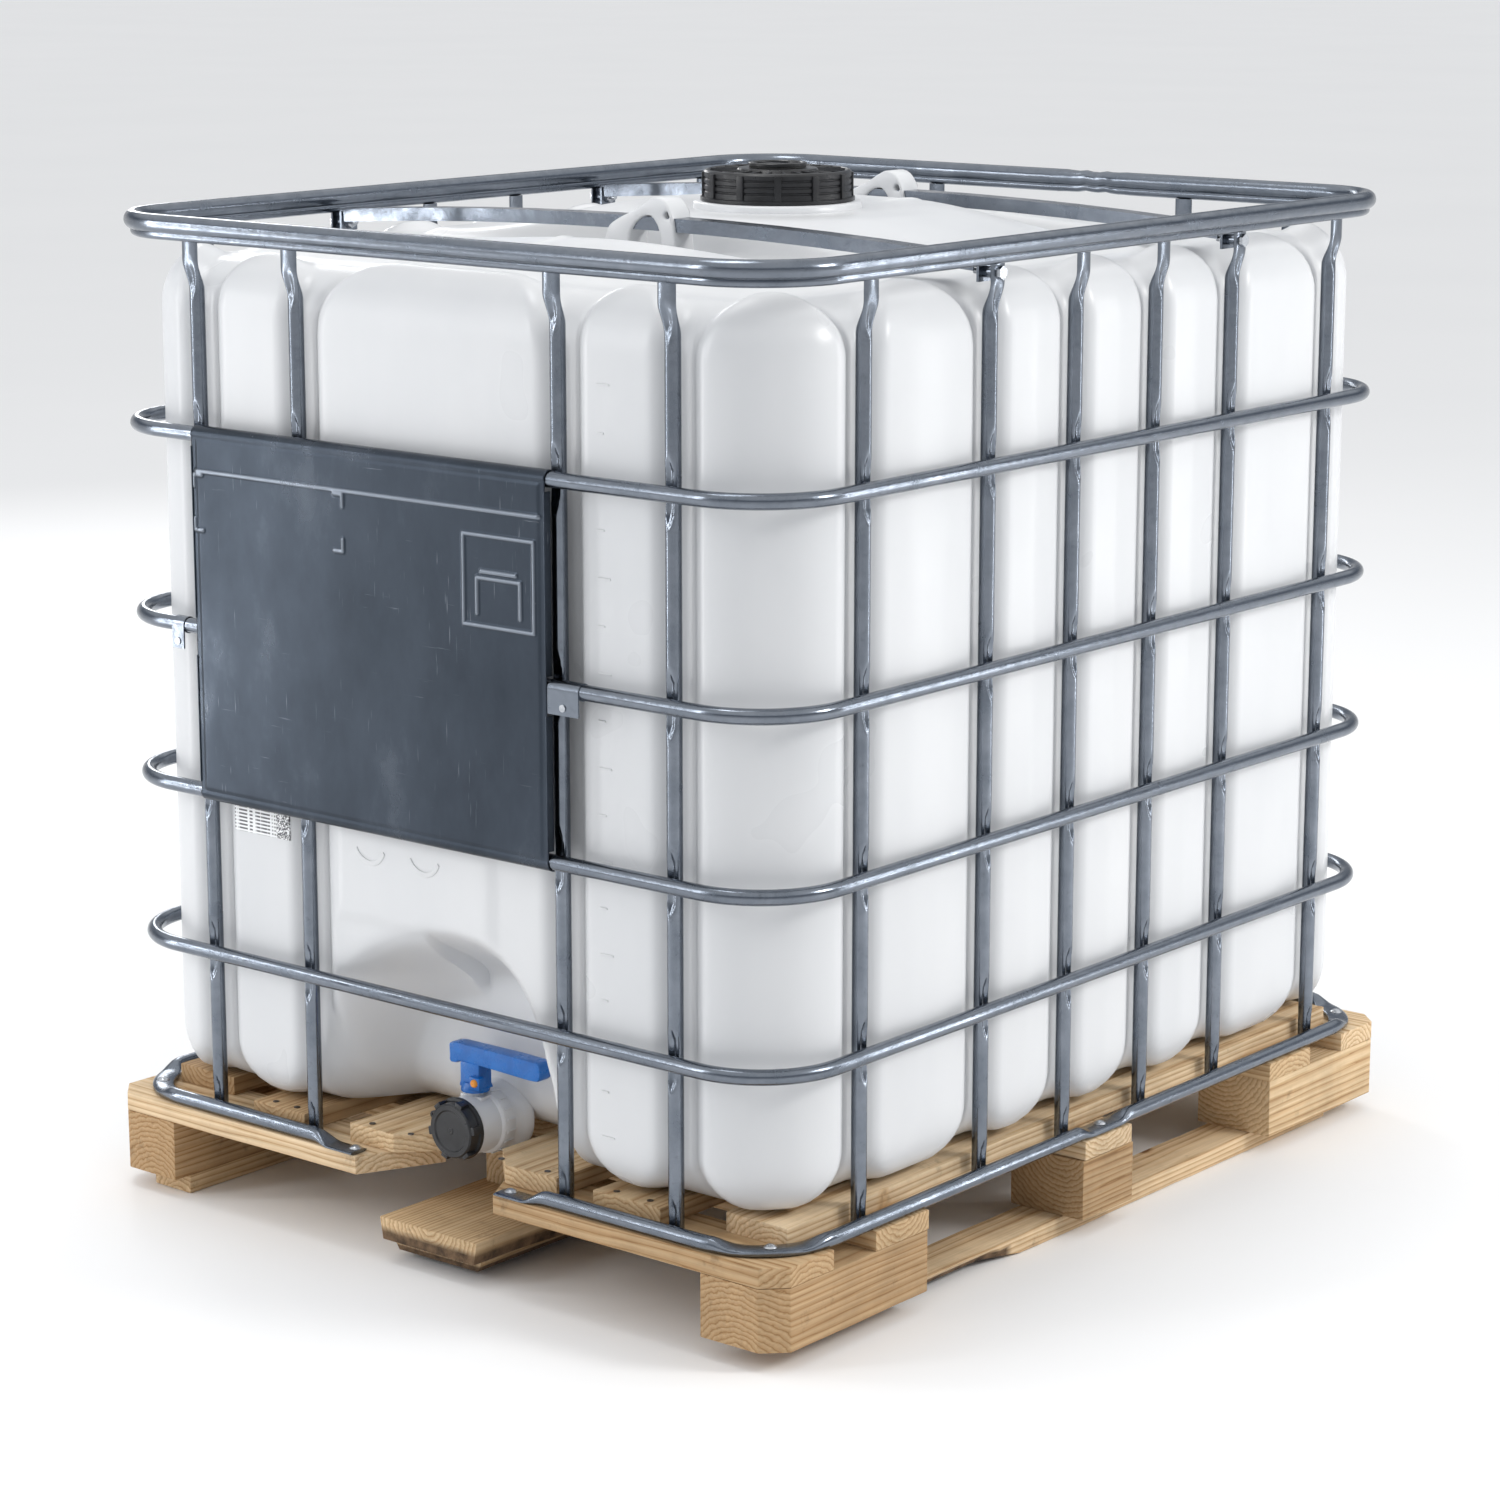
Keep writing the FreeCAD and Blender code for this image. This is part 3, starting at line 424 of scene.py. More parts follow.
def blocks_around(shape, centre, axis, count, first, lo, hi, bevel):
    """Equal blocks round an axis, the first one turned by that many degrees.

    They are given for a vertical axis; for axis Y their Y and Z change places.
    """
    swap = Matrix(((1, 0, 0, 0), (0, 0, 1, 0), (0, 1, 0, 0), (0, 0, 0, 1)))
    for k in range(count):
        place = Matrix.Translation(centre)
        place @= Matrix.Rotation(math.radians(360 / count * k + first), 4, axis)
        shape.add_bmesh(block(lo, hi, bevel), place @ swap if axis == "Y" else place)


def push(bm, faces, axis, value, sharp, bevel):
    """Extrudes faces until that coordinate of the copy has the value, then softens sharp edges."""
    copy = bmesh.ops.extrude_face_region(bm, geom=faces, use_keep_orig=True)
    for v in copy["geom"]:
        if isinstance(v, bmesh.types.BMVert):
            v.co[axis] = value
    bmesh.ops.recalc_face_normals(bm, faces=bm.faces)
    rims = [e for e in bm.edges if e.calc_face_angle(0.0) > sharp]
    bmesh.ops.bevel(bm, geom=rims, offset=bevel, segments=2, profile=0.6, affect="EDGES")


def extruded(outline, y0, y1, bevel, holes=()):
    """Outline in XZ with holes, pushed from y0 to y1 and softened, as a bmesh."""
    bm = bmesh.new()
    loops = []
    for loop in [outline, *holes]:
        verts = [bm.verts.new((x, y0, z)) for x, z in loop]
        loops.extend(bm.edges.new((verts[k], verts[(k + 1) % len(verts)])) for k in range(len(verts)))
    filled = bmesh.ops.triangle_fill(bm, edges=loops, use_beauty=True, use_dissolve=False)
    push(bm, [f for f in filled["geom"] if isinstance(f, bmesh.types.BMFace)], 1, y1, 1.0, bevel)
    return bm


def arc_points(centre, radius, start, end, steps):
    """Points on an arc, its start and end in degrees."""
    turn = np.radians(np.linspace(start, end, steps + 1))
    return [(centre[0] + radius * math.cos(a), centre[1] + radius * math.sin(a)) for a in turn]


def rounded_path(hx, hy, r, step, corner_deg=4.0):
    """Closed rounded rectangle from the middle of the front, anticlockwise: points, outward
    normals, distance of each point along it, and its whole length."""
    points, normals = [], []

    def line(x0, y0, x1, y1, normal):
        count = max(1, round(math.hypot(x1 - x0, y1 - y0) / step))
        for t in np.arange(count) / count:
            points.append((x0 + (x1 - x0) * t, y0 + (y1 - y0) * t))
            normals.append(normal)

    def corner(cx, cy, start):
        count = round(90 / corner_deg)
        for a in np.radians(start + 90 * np.arange(count) / count):
            points.append((cx + r * math.cos(a), cy + r * math.sin(a)))
            normals.append((math.cos(a), math.sin(a)))

    x, y = hx - r, hy - r
    line(0, -hy, x, -hy, (0, -1))
    corner(x, -y, -90)
    line(hx, -y, hx, y, (1, 0))
    corner(x, y, 0)
    line(x, hy, -x, hy, (0, 1))
    corner(-x, y, 90)
    line(-hx, y, -hx, -y, (-1, 0))
    corner(-x, -y, 180)
    line(-x, -hy, 0, -hy, (0, -1))
    points, normals = np.array(points), np.array(normals, float)
    gaps = np.linalg.norm(np.diff(np.vstack([points, points[:1]]), axis=0), axis=1)
    return points, normals, np.concatenate([[0.0], np.cumsum(gaps)[:-1]]), float(gaps.sum())


def distance_to(hx, hy, r, side, value):
    """Distance along rounded_path to a spot on a straight side."""
    quarter = hx + hy - 2 * r + math.pi * r / 2        # from one side's middle to the next
    if side == "front":
        return value if value >= 0 else 4 * quarter + value
    sides, sign = {"right": (1, 1), "back": (2, -1), "left": (3, -1)}[side]
    return sides * quarter + sign * value


# ---- bottle
BOTTLE_HX, BOTTLE_HY, BOTTLE_CY = 0.476, 0.576, 0.004
VALLEY = 0.019             # how far the columns stand proud
SWELL = 0.0042             # and how far their middles swell, except on the front
RECESS_DEEP = 0.08
BASE_HX, BASE_HY, BASE_CORNER = BOTTLE_HX - VALLEY, BOTTLE_HY - VALLEY, 0.1
SHOULDER_R, FOOT_R = 0.055, 0.06
FLOOR_Z = low("bottle").z + 0.02
SHOULDER_Z = 1.034
DOME_Z, COLLAR_Z, NECK_Z = 1.129, 1.137, 1.1655
NECK_R, NECK_IN = 0.076, 0.072


def column_mask(s, v, total):
    """Two masks of the columns between uprights: 0 in the valleys to 1 on an arched column, and
    a second one that only reaches 1 along a column's middle."""
    sizes = (BASE_HX, BASE_HY, BASE_CORNER)
    centres = [distance_to(*sizes, "front", x) for x in UPRIGHT_X]
    centres += [distance_to(*sizes, "back", x) for x in UPRIGHT_X]
    centres += [distance_to(*sizes, side, y - BOTTLE_CY) for side in ("right", "left") for y in UPRIGHT_Y]
    centres = sorted(c % total for c in centres)
    mask = np.zeros(np.broadcast(s, v).shape)
    swell = np.zeros_like(mask)
    top, bottom, waist, valley_half = SHOULDER_Z + 0.074, FLOOR_Z + 0.012, 0.6, 0.0205
    for start, end in zip(centres, centres[1:] + centres[:1]):
        width = (end - start) % total
        half = width / 2 - valley_half
        arch, foot = min(half, 0.092), min(half, 0.055)
        radius = np.where(v > waist, arch, foot)
        qx = np.abs((s - start) % total - width / 2) - (half - radius)
        qv = np.where(v > waist, v - (top - arch), (bottom + foot) - v)
        inside = np.minimum(np.maximum(qx, qv), 0.0)
        sdf = np.hypot(np.maximum(qx, 0), np.maximum(qv, 0)) + inside - radius
        mask = np.maximum(mask, smooth(0.5 - sdf / 0.03))
        swell = np.maximum(swell, smooth(-sdf / 0.075))
    return mask, swell


def recess_mask(x, z):
    """Arched hollow round the outlet in the lower front."""
    middle, half, start, roundness = -0.014, 0.176, 0.1, 2.6
    u = (x - middle) / half
    w = np.maximum(z - start, 0.0) / (0.262 + 0.03 * np.clip(u, -1, 1))
    rho = (np.abs(u) ** roundness + w ** roundness) ** (1 / roundness)
    return smooth((1.1 - rho) / np.where(u > 0, 0.3, 0.42))


def top_height(x, y):
    """Height of the bottle's top away from its shoulder."""
    r = np.hypot(x, y - LID_Y)
    base = SHOULDER_Z + SHOULDER_R
    z = base + (DOME_Z - base) * smooth((0.385 - r) / 0.275) ** 0.9
    for y0, y1, raise_by in ((-0.5, -0.262, 0.013), (-0.168, 0.205, 0.009), (0.298, 0.5, 0.013)):
        centre, half = (y0 + y1) / 2, (y1 - y0) / 2
        edge = np.maximum(np.abs(x) - 0.385, np.abs(y - centre) - half)
        z = z + raise_by * smooth(0.5 - edge / 0.04) * smooth((r - 0.1) / 0.1)
    channel = 1.0885
    for bar in BAR_Y:
        k = smooth((0.052 - np.abs(y - bar)) / 0.026) * smooth((r - 0.112) / 0.03)
        z = z * (1 - k) + np.minimum(z, channel) * k
    seam = np.abs(x - 0.02 - 0.3 * (y - LID_Y))
    return z + 0.0018 * smooth((0.006 - seam) / 0.005) * smooth((r - 0.12) / 0.03)


def bottle():
    """The whole bottle as one skin: underside, wall with its hollow, top, collar, neck and mouth."""
    points, normals, s, total = rounded_path(BASE_HX, BASE_HY, BASE_CORNER, 0.006, 3.75)
    rows = []                                  # inset, height, tilt of the normal
    for a in np.radians(np.linspace(-90, 0, 13)):
        rows.append((FOOT_R * (1 - math.cos(a)), FLOOR_Z + FOOT_R * (1 + math.sin(a)), a))
    wall = np.linspace(FLOOR_Z + FOOT_R, SHOULDER_Z, 118)[1:]
    rows += [(0.0, z, 0.0) for z in wall]
    for a in np.radians(np.linspace(0, 90, 19)[1:]):
        rows.append((SHOULDER_R * (1 - math.cos(a)), SHOULDER_Z + SHOULDER_R * math.sin(a), a))
    inset, height, tilt = (np.array(c)[:, None] for c in zip(*rows))
    (px, py), (nx, ny) = points.T, normals.T
    x = px - nx * inset
    y = py + BOTTLE_CY - ny * inset
    run = np.where(tilt > 0, SHOULDER_Z + SHOULDER_R * tilt, height)
    mask, swell = column_mask(s, run, total)
    front = (ny < -0.99) & (np.abs(x) < 0.3)
    hollow = np.where(front, recess_mask(x, height), 0.0)
    panel = np.maximum(np.abs(x + 0.03) - 0.117, np.abs(height - 0.432) - 0.052)
    raised = VALLEY * mask + SWELL * swell * smooth(1 + ny)
    raised = raised + np.where(front, 0.0045 * smooth(0.5 - panel / 0.02), 0.0)
    raised = raised * (1 - hollow)
    outward = raised * np.cos(tilt) - RECESS_DEEP * hollow
    shell = np.stack([x + nx * outward, y + ny * outward, height + raised * np.sin(tilt)], -1)

    # top: from the shoulder's inner edge to the collar, then collar, neck and mouth
    rim = shell[-1]
    bearing = np.arctan2(rim[:, 1] - LID_Y, rim[:, 0])

    def round_neck(r):
        return np.stack([r * np.cos(bearing), r * np.sin(bearing) + LID_Y], -1)

    circle = round_neck(0.098)
    top = []
    for q in np.linspace(0, 1, 74)[1:]:
        q = q ** 0.92
        xy = rim[:, :2] * (1 - q) + circle * q
        full = top_height(xy[:, 0], xy[:, 1])
        ease = smooth(q / 0.1)
        top.append(np.column_stack([xy, rim[:, 2] * (1 - ease) + full * ease]))
    neck = [(0.0975, COLLAR_Z - 0.002), (0.0955, COLLAR_Z), (NECK_R + 0.003, COLLAR_Z),
            (NECK_R, COLLAR_Z + 0.003)]
    for z0 in (1.147, 1.154, 1.161):
        neck += [(NECK_R, z0 - 0.0012), (NECK_R + 0.0015, z0), (NECK_R, z0 + 0.0012)]
    neck += [(NECK_R, NECK_Z - 0.001), (NECK_R - 0.001, NECK_Z), (NECK_IN + 0.001, NECK_Z),
             (NECK_IN, NECK_Z - 0.001), (NECK_IN, 1.12), (NECK_IN, 1.05), (0.04, 1.03), (0.002, 1.03)]
    top += [np.column_stack([round_neck(r), np.full_like(bearing, z0)]) for r, z0 in neck]
    # underside
    under = []
    for q in (0.15, 0.45, 0.75, 0.998):
        flat = shell[0] * q
        flat[:, 2] = FLOOR_Z
        under.append(flat)
    stack = np.concatenate([np.stack(under), shell, np.stack(top)])
    shape = Shape()
    shape.add(stack.reshape(-1, 3), tube_faces(*stack.shape[:2]))
    shape.piece("bottle_shell", BOTTLE, "container", ("bottle",), sharp=60.0)
    level_marks()
    panel_crescents()


def front_face_y(depth):
    """A spot that stands that much proud of the front columns."""
    return BOTTLE_CY - BOTTLE_HY - depth


def level_marks():
    """Low moulded ticks that show the fill level, on the front column right of the plate."""
    shape = Shape()
    y = front_face_y(0.0009)
    for k in range(17):
        z = 0.2 + 0.05 * k
        long = 0.018 if k % 2 == 0 else 0.01
        shape.add_bmesh(block((0.24, y, z), (0.24 + long, y + 0.004, z + 0.0022), 0.0008))
    shape.piece("level_marks", BOTTLE, "container")


def panel_crescents():
    """Two small raised crescents on the panel below the plate."""
    shape = Shape()
    for x0 in (-0.092, -0.01):
        outline = arc_points((x0, 0.468), 0.024, 200, 340, 12)
        outline += arc_points((x0, 0.472), 0.022, 335, 205, 12)
        shape.add_bmesh(extruded(outline, front_face_y(0.0056), front_face_y(-0.004), 0.0006))
    shape.piece("panel_crescents", BOTTLE, "container")


def sticker():
    """Printed label low on the bottle, half under the plate."""
    shape = Shape()
    y = front_face_y(0.0007)
    shape.add_bmesh(block((-0.309, y, 0.451), (-0.222, y + 0.003, 0.492), 0.0003))
    shape.piece("sticker", STICKER, "container")


def bar_clip(name, x, y):
    """Moulded hump that ties a crossbar down: arch with a pierced lug."""
    base = 1087
    outline = mm([(-54, base), (-52, 1112), (-46, 1124), (-30, 1133), (-10, 1141), (8, 1152), (20, 1158),
                  (31, 1157), (40, 1150), (47, 1137), (50, 1118), (53, base), (32, base), (30, 1112),
                  (26, 1126), (16, 1137), (4, 1136), (-8, 1128), (-16, 1116), (-18, base)])
    outline = [(x + px, pz) for px, pz in soft_corners(outline, 0.006)]
    hole = arc_points((x + 0.0385, 1.138), 0.0042, 0, 360, 14)[:-1]
    shape = Shape()
    shape.add_bmesh(extruded(outline, y - 0.0165, y + 0.0165, 0.0028, [hole]))
    shape.piece(name + "_hump", BOTTLE, "container", (name,), sharp=70.0)


# ---- cage
ROUND = np.linspace(0, 2 * math.pi, 28, endpoint=False)
TUBE_COS, TUBE_SIN = TUBE_R * np.cos(ROUND), TUBE_R * np.sin(ROUND)


def ring_mesh(z, profile, step, keep=None):
    """Sweep round the cage, or the part of it that keep(points) marks.

    profile(point, distance) gives (outward, up) pairs.
    """
    points, normals, s, _ = rounded_path(CAGE_X, CAGE_Y, CAGE_CORNER, step)
    if keep is not None:
        mask = keep(points)
        start = int(np.argmax(mask))
        order = [k % len(s) for k in range(start, start + len(s)) if mask[k % len(s)]]
        points, normals, s = points[order], normals[order], s[order]
    rows = []
    for p, n, distance in zip(points, normals, s):
        out, up = np.array(profile(p, distance)).T
        rows.append(np.column_stack([p[0] + n[0] * out, p[1] + n[1] * out, z + up]))
    size = (len(rows), len(rows[0]))
    return np.concatenate(rows), tube_faces(*size) if keep is not None else grid(*size, wrap_rows=True)


def ring_section(point, distance):
    """Tube section, its inner side pressed in where an upright is welded to it."""
    gap = 1.0
    if abs(abs(point[1]) - CAGE_Y) < 0.001:
        gap = min(abs(point[0] - x) for x in UPRIGHT_X)
    elif abs(abs(point[0]) - CAGE_X) < 0.001:
        gap = min(abs(point[1] - y) for y in UPRIGHT_Y)
    depth = 0.0012 * smooth((0.022 - gap) / 0.016)
    return np.column_stack([TUBE_COS + depth * np.exp(-((ROUND - math.pi) / 0.6) ** 2), TUBE_SIN])


def rings():
    for name, z in zip(RINGS, RING_Z):
        shape = Shape()
        shape.add(*ring_mesh(z, ring_section, 0.012))
        shape.piece(name + "_tube", GALVANISED, "container", (name,))


RAIL_R = 0.0105            # of the top rail's upper bead


def rail_outline():
    """Outline of two fused beads, the larger on top."""
    big, small, offset = RAIL_R, 0.0056, Vector((-0.0022, -0.0122))
    gap = offset.length
    toward = math.atan2(offset.y, offset.x)
    a = math.acos((big ** 2 + gap ** 2 - small ** 2) / (2 * big * gap))
    b = math.acos((small ** 2 + gap ** 2 - big ** 2) / (2 * small * gap))
    upper = np.linspace(toward + a, toward - a + 2 * math.pi, 26)
    lower = np.linspace(toward + math.pi + b, toward + math.pi - b + 2 * math.pi, 16)
    outline = [(big * math.cos(t), big * math.sin(t)) for t in upper]
    outline += [(offset.x + small * math.cos(t), offset.y + small * math.sin(t)) for t in lower]
    return np.array(outline) + np.array([-0.002, 0.0])


def top_rail():
    outline = rail_outline()

    def profile(point, distance):
        """The rail's joint is pinched on the back."""
        near = smooth(1 - abs(point[0] - 0.054) / 0.06) if point[1] > CAGE_Y - 0.005 else 0.0
        ripple = 0.0016 * math.sin(distance * 420.0) * near
        scale = np.array([1 - 0.22 * near, 1 - 0.1 * near])
        return outline * scale + np.array([ripple, ripple * 0.6])

    shape = Shape()
    shape.add(*ring_mesh(RAIL_TOP - RAIL_R, profile, 0.01))
    shape.piece("top_rail_beads", GALVANISED, "container", ("top_rail",), sharp=50.0)


def base_rail():
    """Bottom ring: round tube, flattened at its screws and at the ends beside the outlet."""
    middle = CAGE_CORNER * (1 - math.sqrt(0.5))       # from the corner's edges in to its arc

    def flatness(point):
        """How flat the tube is, 0 to 1, beside the outlet and at the screws."""
        x, y = abs(point[0]), abs(point[1])
        ends = 0.0
        if point[1] < -CAGE_Y + 0.001:
            gap = min(abs(point[0] - GAP_LEFT), abs(point[0] - GAP_RIGHT))
            ends = smooth((0.072 - gap) / 0.03)
        side = smooth((0.05 - y) / 0.022) if x > CAGE_X - 0.001 else 0.0
        corner = smooth((0.062 - math.hypot(x - CAGE_X + middle, y - CAGE_Y + middle)) / 0.026)
        return ends, max(side, corner)

    def profile(point, distance):
        ends, flat = flatness(point)
        k = max(ends, flat)
        half = 0.0045 * (1 - ends) + 0.002 * ends
        u = TUBE_COS * (1 + 0.46 * k) - 0.004 * flat
        pressed = -TUBE_R + half + half * np.sign(np.sin(ROUND)) * np.abs(np.sin(ROUND)) ** 0.55
        return np.column_stack([u, TUBE_SIN * (1 - k) + pressed * k])

    def keep(points):
        front = points[:, 1] < -CAGE_Y + 0.001
        return ~(front & (points[:, 0] > GAP_LEFT - 0.001) & (points[:, 0] < GAP_RIGHT + 0.001))

    shape = Shape()
    shape.add(*ring_mesh(BASE_Z, profile, 0.005, keep))
    shape.piece("base_rail_tube", GALVANISED, "container", ("base_rail",))


def upright_rows():
    """Heights of an upright's rows, close together where it is shaped."""
    z = list(np.arange(DECK_Z + 0.0005, UPRIGHT_TOP - 0.002, 0.012))
    for crossing in RING_Z + [BASE_Z]:
        z += list(np.arange(crossing - 0.046, crossing + 0.046, 0.0025))
    z += list(np.arange(1.04, UPRIGHT_TOP, 0.003)) + [UPRIGHT_TOP]
    z = sorted(v for v in z if v > DECK_Z + 0.0004)
    return [v for k, v in enumerate(z) if k == 0 or v - z[k - 1] > 0.0008]


def upright_mesh():
    """One upright at the origin facing -Y: crimped beside each ring, its top pressed flat and set out."""
    flat_from, spoon_z, set_out = 1.058, 1.072, 0.009
    rows = []
    front = np.abs((ROUND - math.pi / 2 + math.pi) % (2 * math.pi) - math.pi)
    for z in upright_rows():
        k = smooth((z - flat_from) / 0.034)
        out = TUBE_SIN * (1 - 0.7 * k) + set_out * k
        for crossing in RING_Z + [BASE_Z]:
            near = 0.04 - abs(z - crossing)
            width = 0.28 + 0.42 * smooth(near / 0.03)
            out = out - 0.0052 * smooth(near / 0.02) * np.exp(-(front / width) ** 2)
        spoon = math.exp(-((z - spoon_z) / 0.014) ** 2)
        out = out - 0.0042 * spoon * np.exp(-(front / 0.55) ** 2)
        rows.append(np.column_stack([TUBE_COS * (1 + 0.42 * k), -out, np.full_like(out, z)]))
    return np.concatenate(rows), tube_faces(len(rows), len(ROUND))


def uprights():
    verts, faces = upright_mesh()
    x, y = CAGE_X - 2 * TUBE_R, CAGE_Y - 2 * TUBE_R
    sides = {"front": (0, [(v, -y) for v in UPRIGHT_X]), "back": (180, [(v, y) for v in UPRIGHT_X]),
             "right": (90, [(x, v) for v in UPRIGHT_Y]), "left": (270, [(-x, v) for v in UPRIGHT_Y])}
    for side, (turn, spots) in sides.items():
        shape = Shape()
        spin = np.array(Matrix.Rotation(math.radians(turn), 3, "Z"))
        for spot in spots:
            shape.add(verts @ spin.T + np.array([*spot, 0.0]), faces)
        name = "uprights_" + side
        shape.piece(name + "_tubes", GALVANISED, "container", (name,))


# ---- label plate
PLATE_LEFT, PLATE_RIGHT = low("label_plate").x, high("label_plate").x
PLATE_OUT = TUBE_R + 0.0011


def stroke(x, z, ax, az, bx, bz):
    """Height 0..1 of a raised line from a to b."""
    width, soft = 0.0012, 0.0017
    dx, dz = bx - ax, bz - az
    t = np.clip(((x - ax) * dx + (z - az) * dz) / (dx * dx + dz * dz), 0, 1)
    gap = np.hypot(x - ax - t * dx, z - az - t * dz)
    return smooth((width + soft - gap) / soft)


def embossing(x, z):
    """The plate's relief, and its ridges as 0 to 1, which the finish lightens as rubbed wear and as a
    painted highlight: a ruled line, corner brackets and a framed figure of plain lines, inside a sunk
    border."""
    lines = [(-326, 862, 186, 862)]
    for cx, sx in ((-329, 1), (-98, -1)):
        for cz, sz in ((858, -1), (796, 1)):
            lines += [(cx, cz, cx + 13 * sx, cz), (cx, cz, cx, cz + 13 * sz)]
    left, right, bottom, top = 79, 178, 739, 835
    lines += [(left, bottom, right, bottom), (left, top, right, top), (left, bottom, left, top),
              (right, bottom, right, top)]
    lines += [(98, 752, 98, 790), (159, 752, 159, 790), (98, 790, 159, 790), (104, 797, 153, 797)]
    raised = np.zeros_like(x)
    for line in np.array(lines) / 1000:
        raised = np.maximum(raised, stroke(x, z, *line))
    middle, half = (PLATE_LEFT + PLATE_RIGHT) / 2, (PLATE_RIGHT - PLATE_LEFT) / 2
    frame_gap = np.maximum(np.abs(x - middle) - half + 0.01, np.abs(z - 0.6987) - 0.196)
    return 0.0019 * raised - 0.001 * smooth(frame_gap / 0.004), raised


def label_plate():
    """Sheet hooked over two rings, with embossing and folded side lips."""
    low_z, high_z = RING_Z[1], RING_Z[3]

    def hook(start, end, z):
        """Bend round a ring: how far out, how high, and 0 for a plain surface."""
        turns = np.radians(np.linspace(start, end, 14))
        return [(PLATE_OUT * math.cos(a), z + PLATE_OUT * math.sin(a), 0) for a in turns]

    line = hook(-55, -180, low_z)
    line += [(-PLATE_OUT, z, 1) for z in np.linspace(low_z, high_z, 262)[1:-1]]
    line = np.array(line + hook(180, 55, high_z))
    xs = np.linspace(PLATE_LEFT, PLATE_RIGHT, 340)
    x, z = np.meshgrid(xs, line[:, 1])
    across = (x - PLATE_LEFT) / (PLATE_RIGHT - PLATE_LEFT)
    upward = np.clip((z - low_z) / (high_z - low_z), 0, 1)
    belly = np.sin(np.pi * across) * np.sin(np.pi * upward)
    relief, ridges = embossing(x, z)
    y = -CAGE_Y + line[:, :1] - line[:, 2:] * (relief + 0.0006 * belly)
    verts = np.stack([x, y, z], -1).reshape(-1, 3)
    shape = Shape()
    shape.add(verts, grid(len(line), len(xs), False), grain=verts.tolist(), mark=ridges.ravel().tolist())
    plate = shape.piece("label_plate_sheet", PLATE, "container", ("label_plate",), sharp=60.0)
    thick = plate.modifiers.new("sheet thickness", "SOLIDIFY")
    thick.thickness = 0.001
    thick.offset = 0.0
    shape = Shape()
    mid = RING_Z[2]
    front = -CAGE_Y - PLATE_OUT
    for x0 in (PLATE_LEFT - 0.0004, PLATE_RIGHT - 0.001):
        for z0, z1 in ((low_z + 0.012, mid - 0.03), (mid + 0.012, high_z - 0.012)):
            shape.add_bmesh(block((x0, front - 0.0006, z0), (x0 + 0.0014, front + 0.0095, z1), 0.0005))
    shape.piece("label_plate_lips", PLATE, "container")


# ---- pallet
rng = np.random.default_rng(7)


def plank(shape, outline, z0, z1, along, wane):
    """Sawn board or block: plan outline from z0 to z1, grain along 'x' or 'y', waney lower edges."""
    rough, edge = 0.0007, 0.004
    bm = bmesh.new()
    push(bm, [bm.faces.new([bm.verts.new((px, py, z0)) for px, py in outline])], 2, z1, 0.4, 0.0016)
    axis = "xy".index(along)
    spot = np.array([v.co for v in bm.verts])
    normal = Vector((0, 0, 0))
    normal[axis] = 1
    for cut in np.arange(spot[:, axis].min() + 0.03, spot[:, axis].max() - 0.01, 0.035):
        everything = bm.verts[:] + bm.edges[:] + bm.faces[:]
        bmesh.ops.bisect_plane(bm, geom=everything, plane_co=normal * float(cut), plane_no=normal)
    seed = Vector(rng.uniform(0, 50, 3))
    middle = (spot.min(0) + spot.max(0)) / 2
    half = (spot.max(0) - spot.min(0)) / 2
    bark = []
    for v in bm.verts:
        shift = noise.noise_vector(v.co * 14 + seed) * rough
        inward = 0.0
        if wane:
            corner = min(half[k] - abs(v.co[k] - middle[k]) for k in range(3) if k != axis)
            strength = noise.noise(Vector((v.co[axis] * 3.2, 0, 0)) + seed) + 0.06
            if v.co.z < middle[2] and corner < edge and strength > 0:
                inward = min(wane, strength * wane * 5)
        v.co += shift
        if inward:
            for k in range(3):
                if k != axis and half[k] - abs(v.co[k] - middle[k]) < edge:
                    v.co[k] -= inward * (1 if v.co[k] > middle[k] else -1)
        bark.append(1.0 if inward > wane * 0.3 > 0 else 0.0)
    order = [axis] + [k for k in (0, 1, 2) if k != axis]
    pith = rng.uniform(-0.5, 0.5, 2) * np.array([0.054, 0.06])
    pith[1] += rng.choice([-1, 1]) * 0.045
    start = rng.uniform(0, 30)
    grain = []
    for v in bm.verts:
        local = [v.co[k] - middle[k] for k in order]
        grain.append((local[0] + start, local[1] + pith[0], local[2] + pith[1]))
    shape.add_bmesh(bm, grain=grain, tone=float(rng.uniform(0.05, 0.95)), mark=bark)


CORNER_CUT = 24            # of corner blocks and lead boards; the plans below are in millimetres


def rectangle(x0, x1, y0, y1):
    return mm([(x0, y0), (x1, y0), (x1, y1), (x0, y1)])


def cut_corner(sx, sy):
    """Corner block with its outer corner cut; sx and sy say which corner."""
    x, y, width, length, c = 500, 600, 102, 258, CORNER_CUT
    points = [(x - width, y), (x - c, y), (x, y - c), (x, y - length), (x - width, y - length)]
    points = mm([(sx * px, sy * py) for px, py in points])
    return points if sx * sy < 0 else points[::-1]


def slanted(x0, x1, y0, y1, cut):
    """Deck board beside the outlet: its front end is cut on the right (cut 1) or the left (-1)."""
    c = 40
    if cut > 0:
        return mm([(x0, y0), (x1 - c, y0), (x1, y0 + c), (x1, y1), (x0, y1)])
    if cut < 0:
        return mm([(x0 + c, y0), (x1, y0), (x1, y1), (x0, y1), (x0, y0 + c)])
    return rectangle(x0, x1, y0, y1)


def wood_piece(name, boards, wane=0.0):
    shape = Shape()
    for outline, z0, z1, along in boards:
        plank(shape, outline, z0, z1, along, wane)
    shape.piece(name + "_wood", PINE, "container", (name,), sharp=40.0)


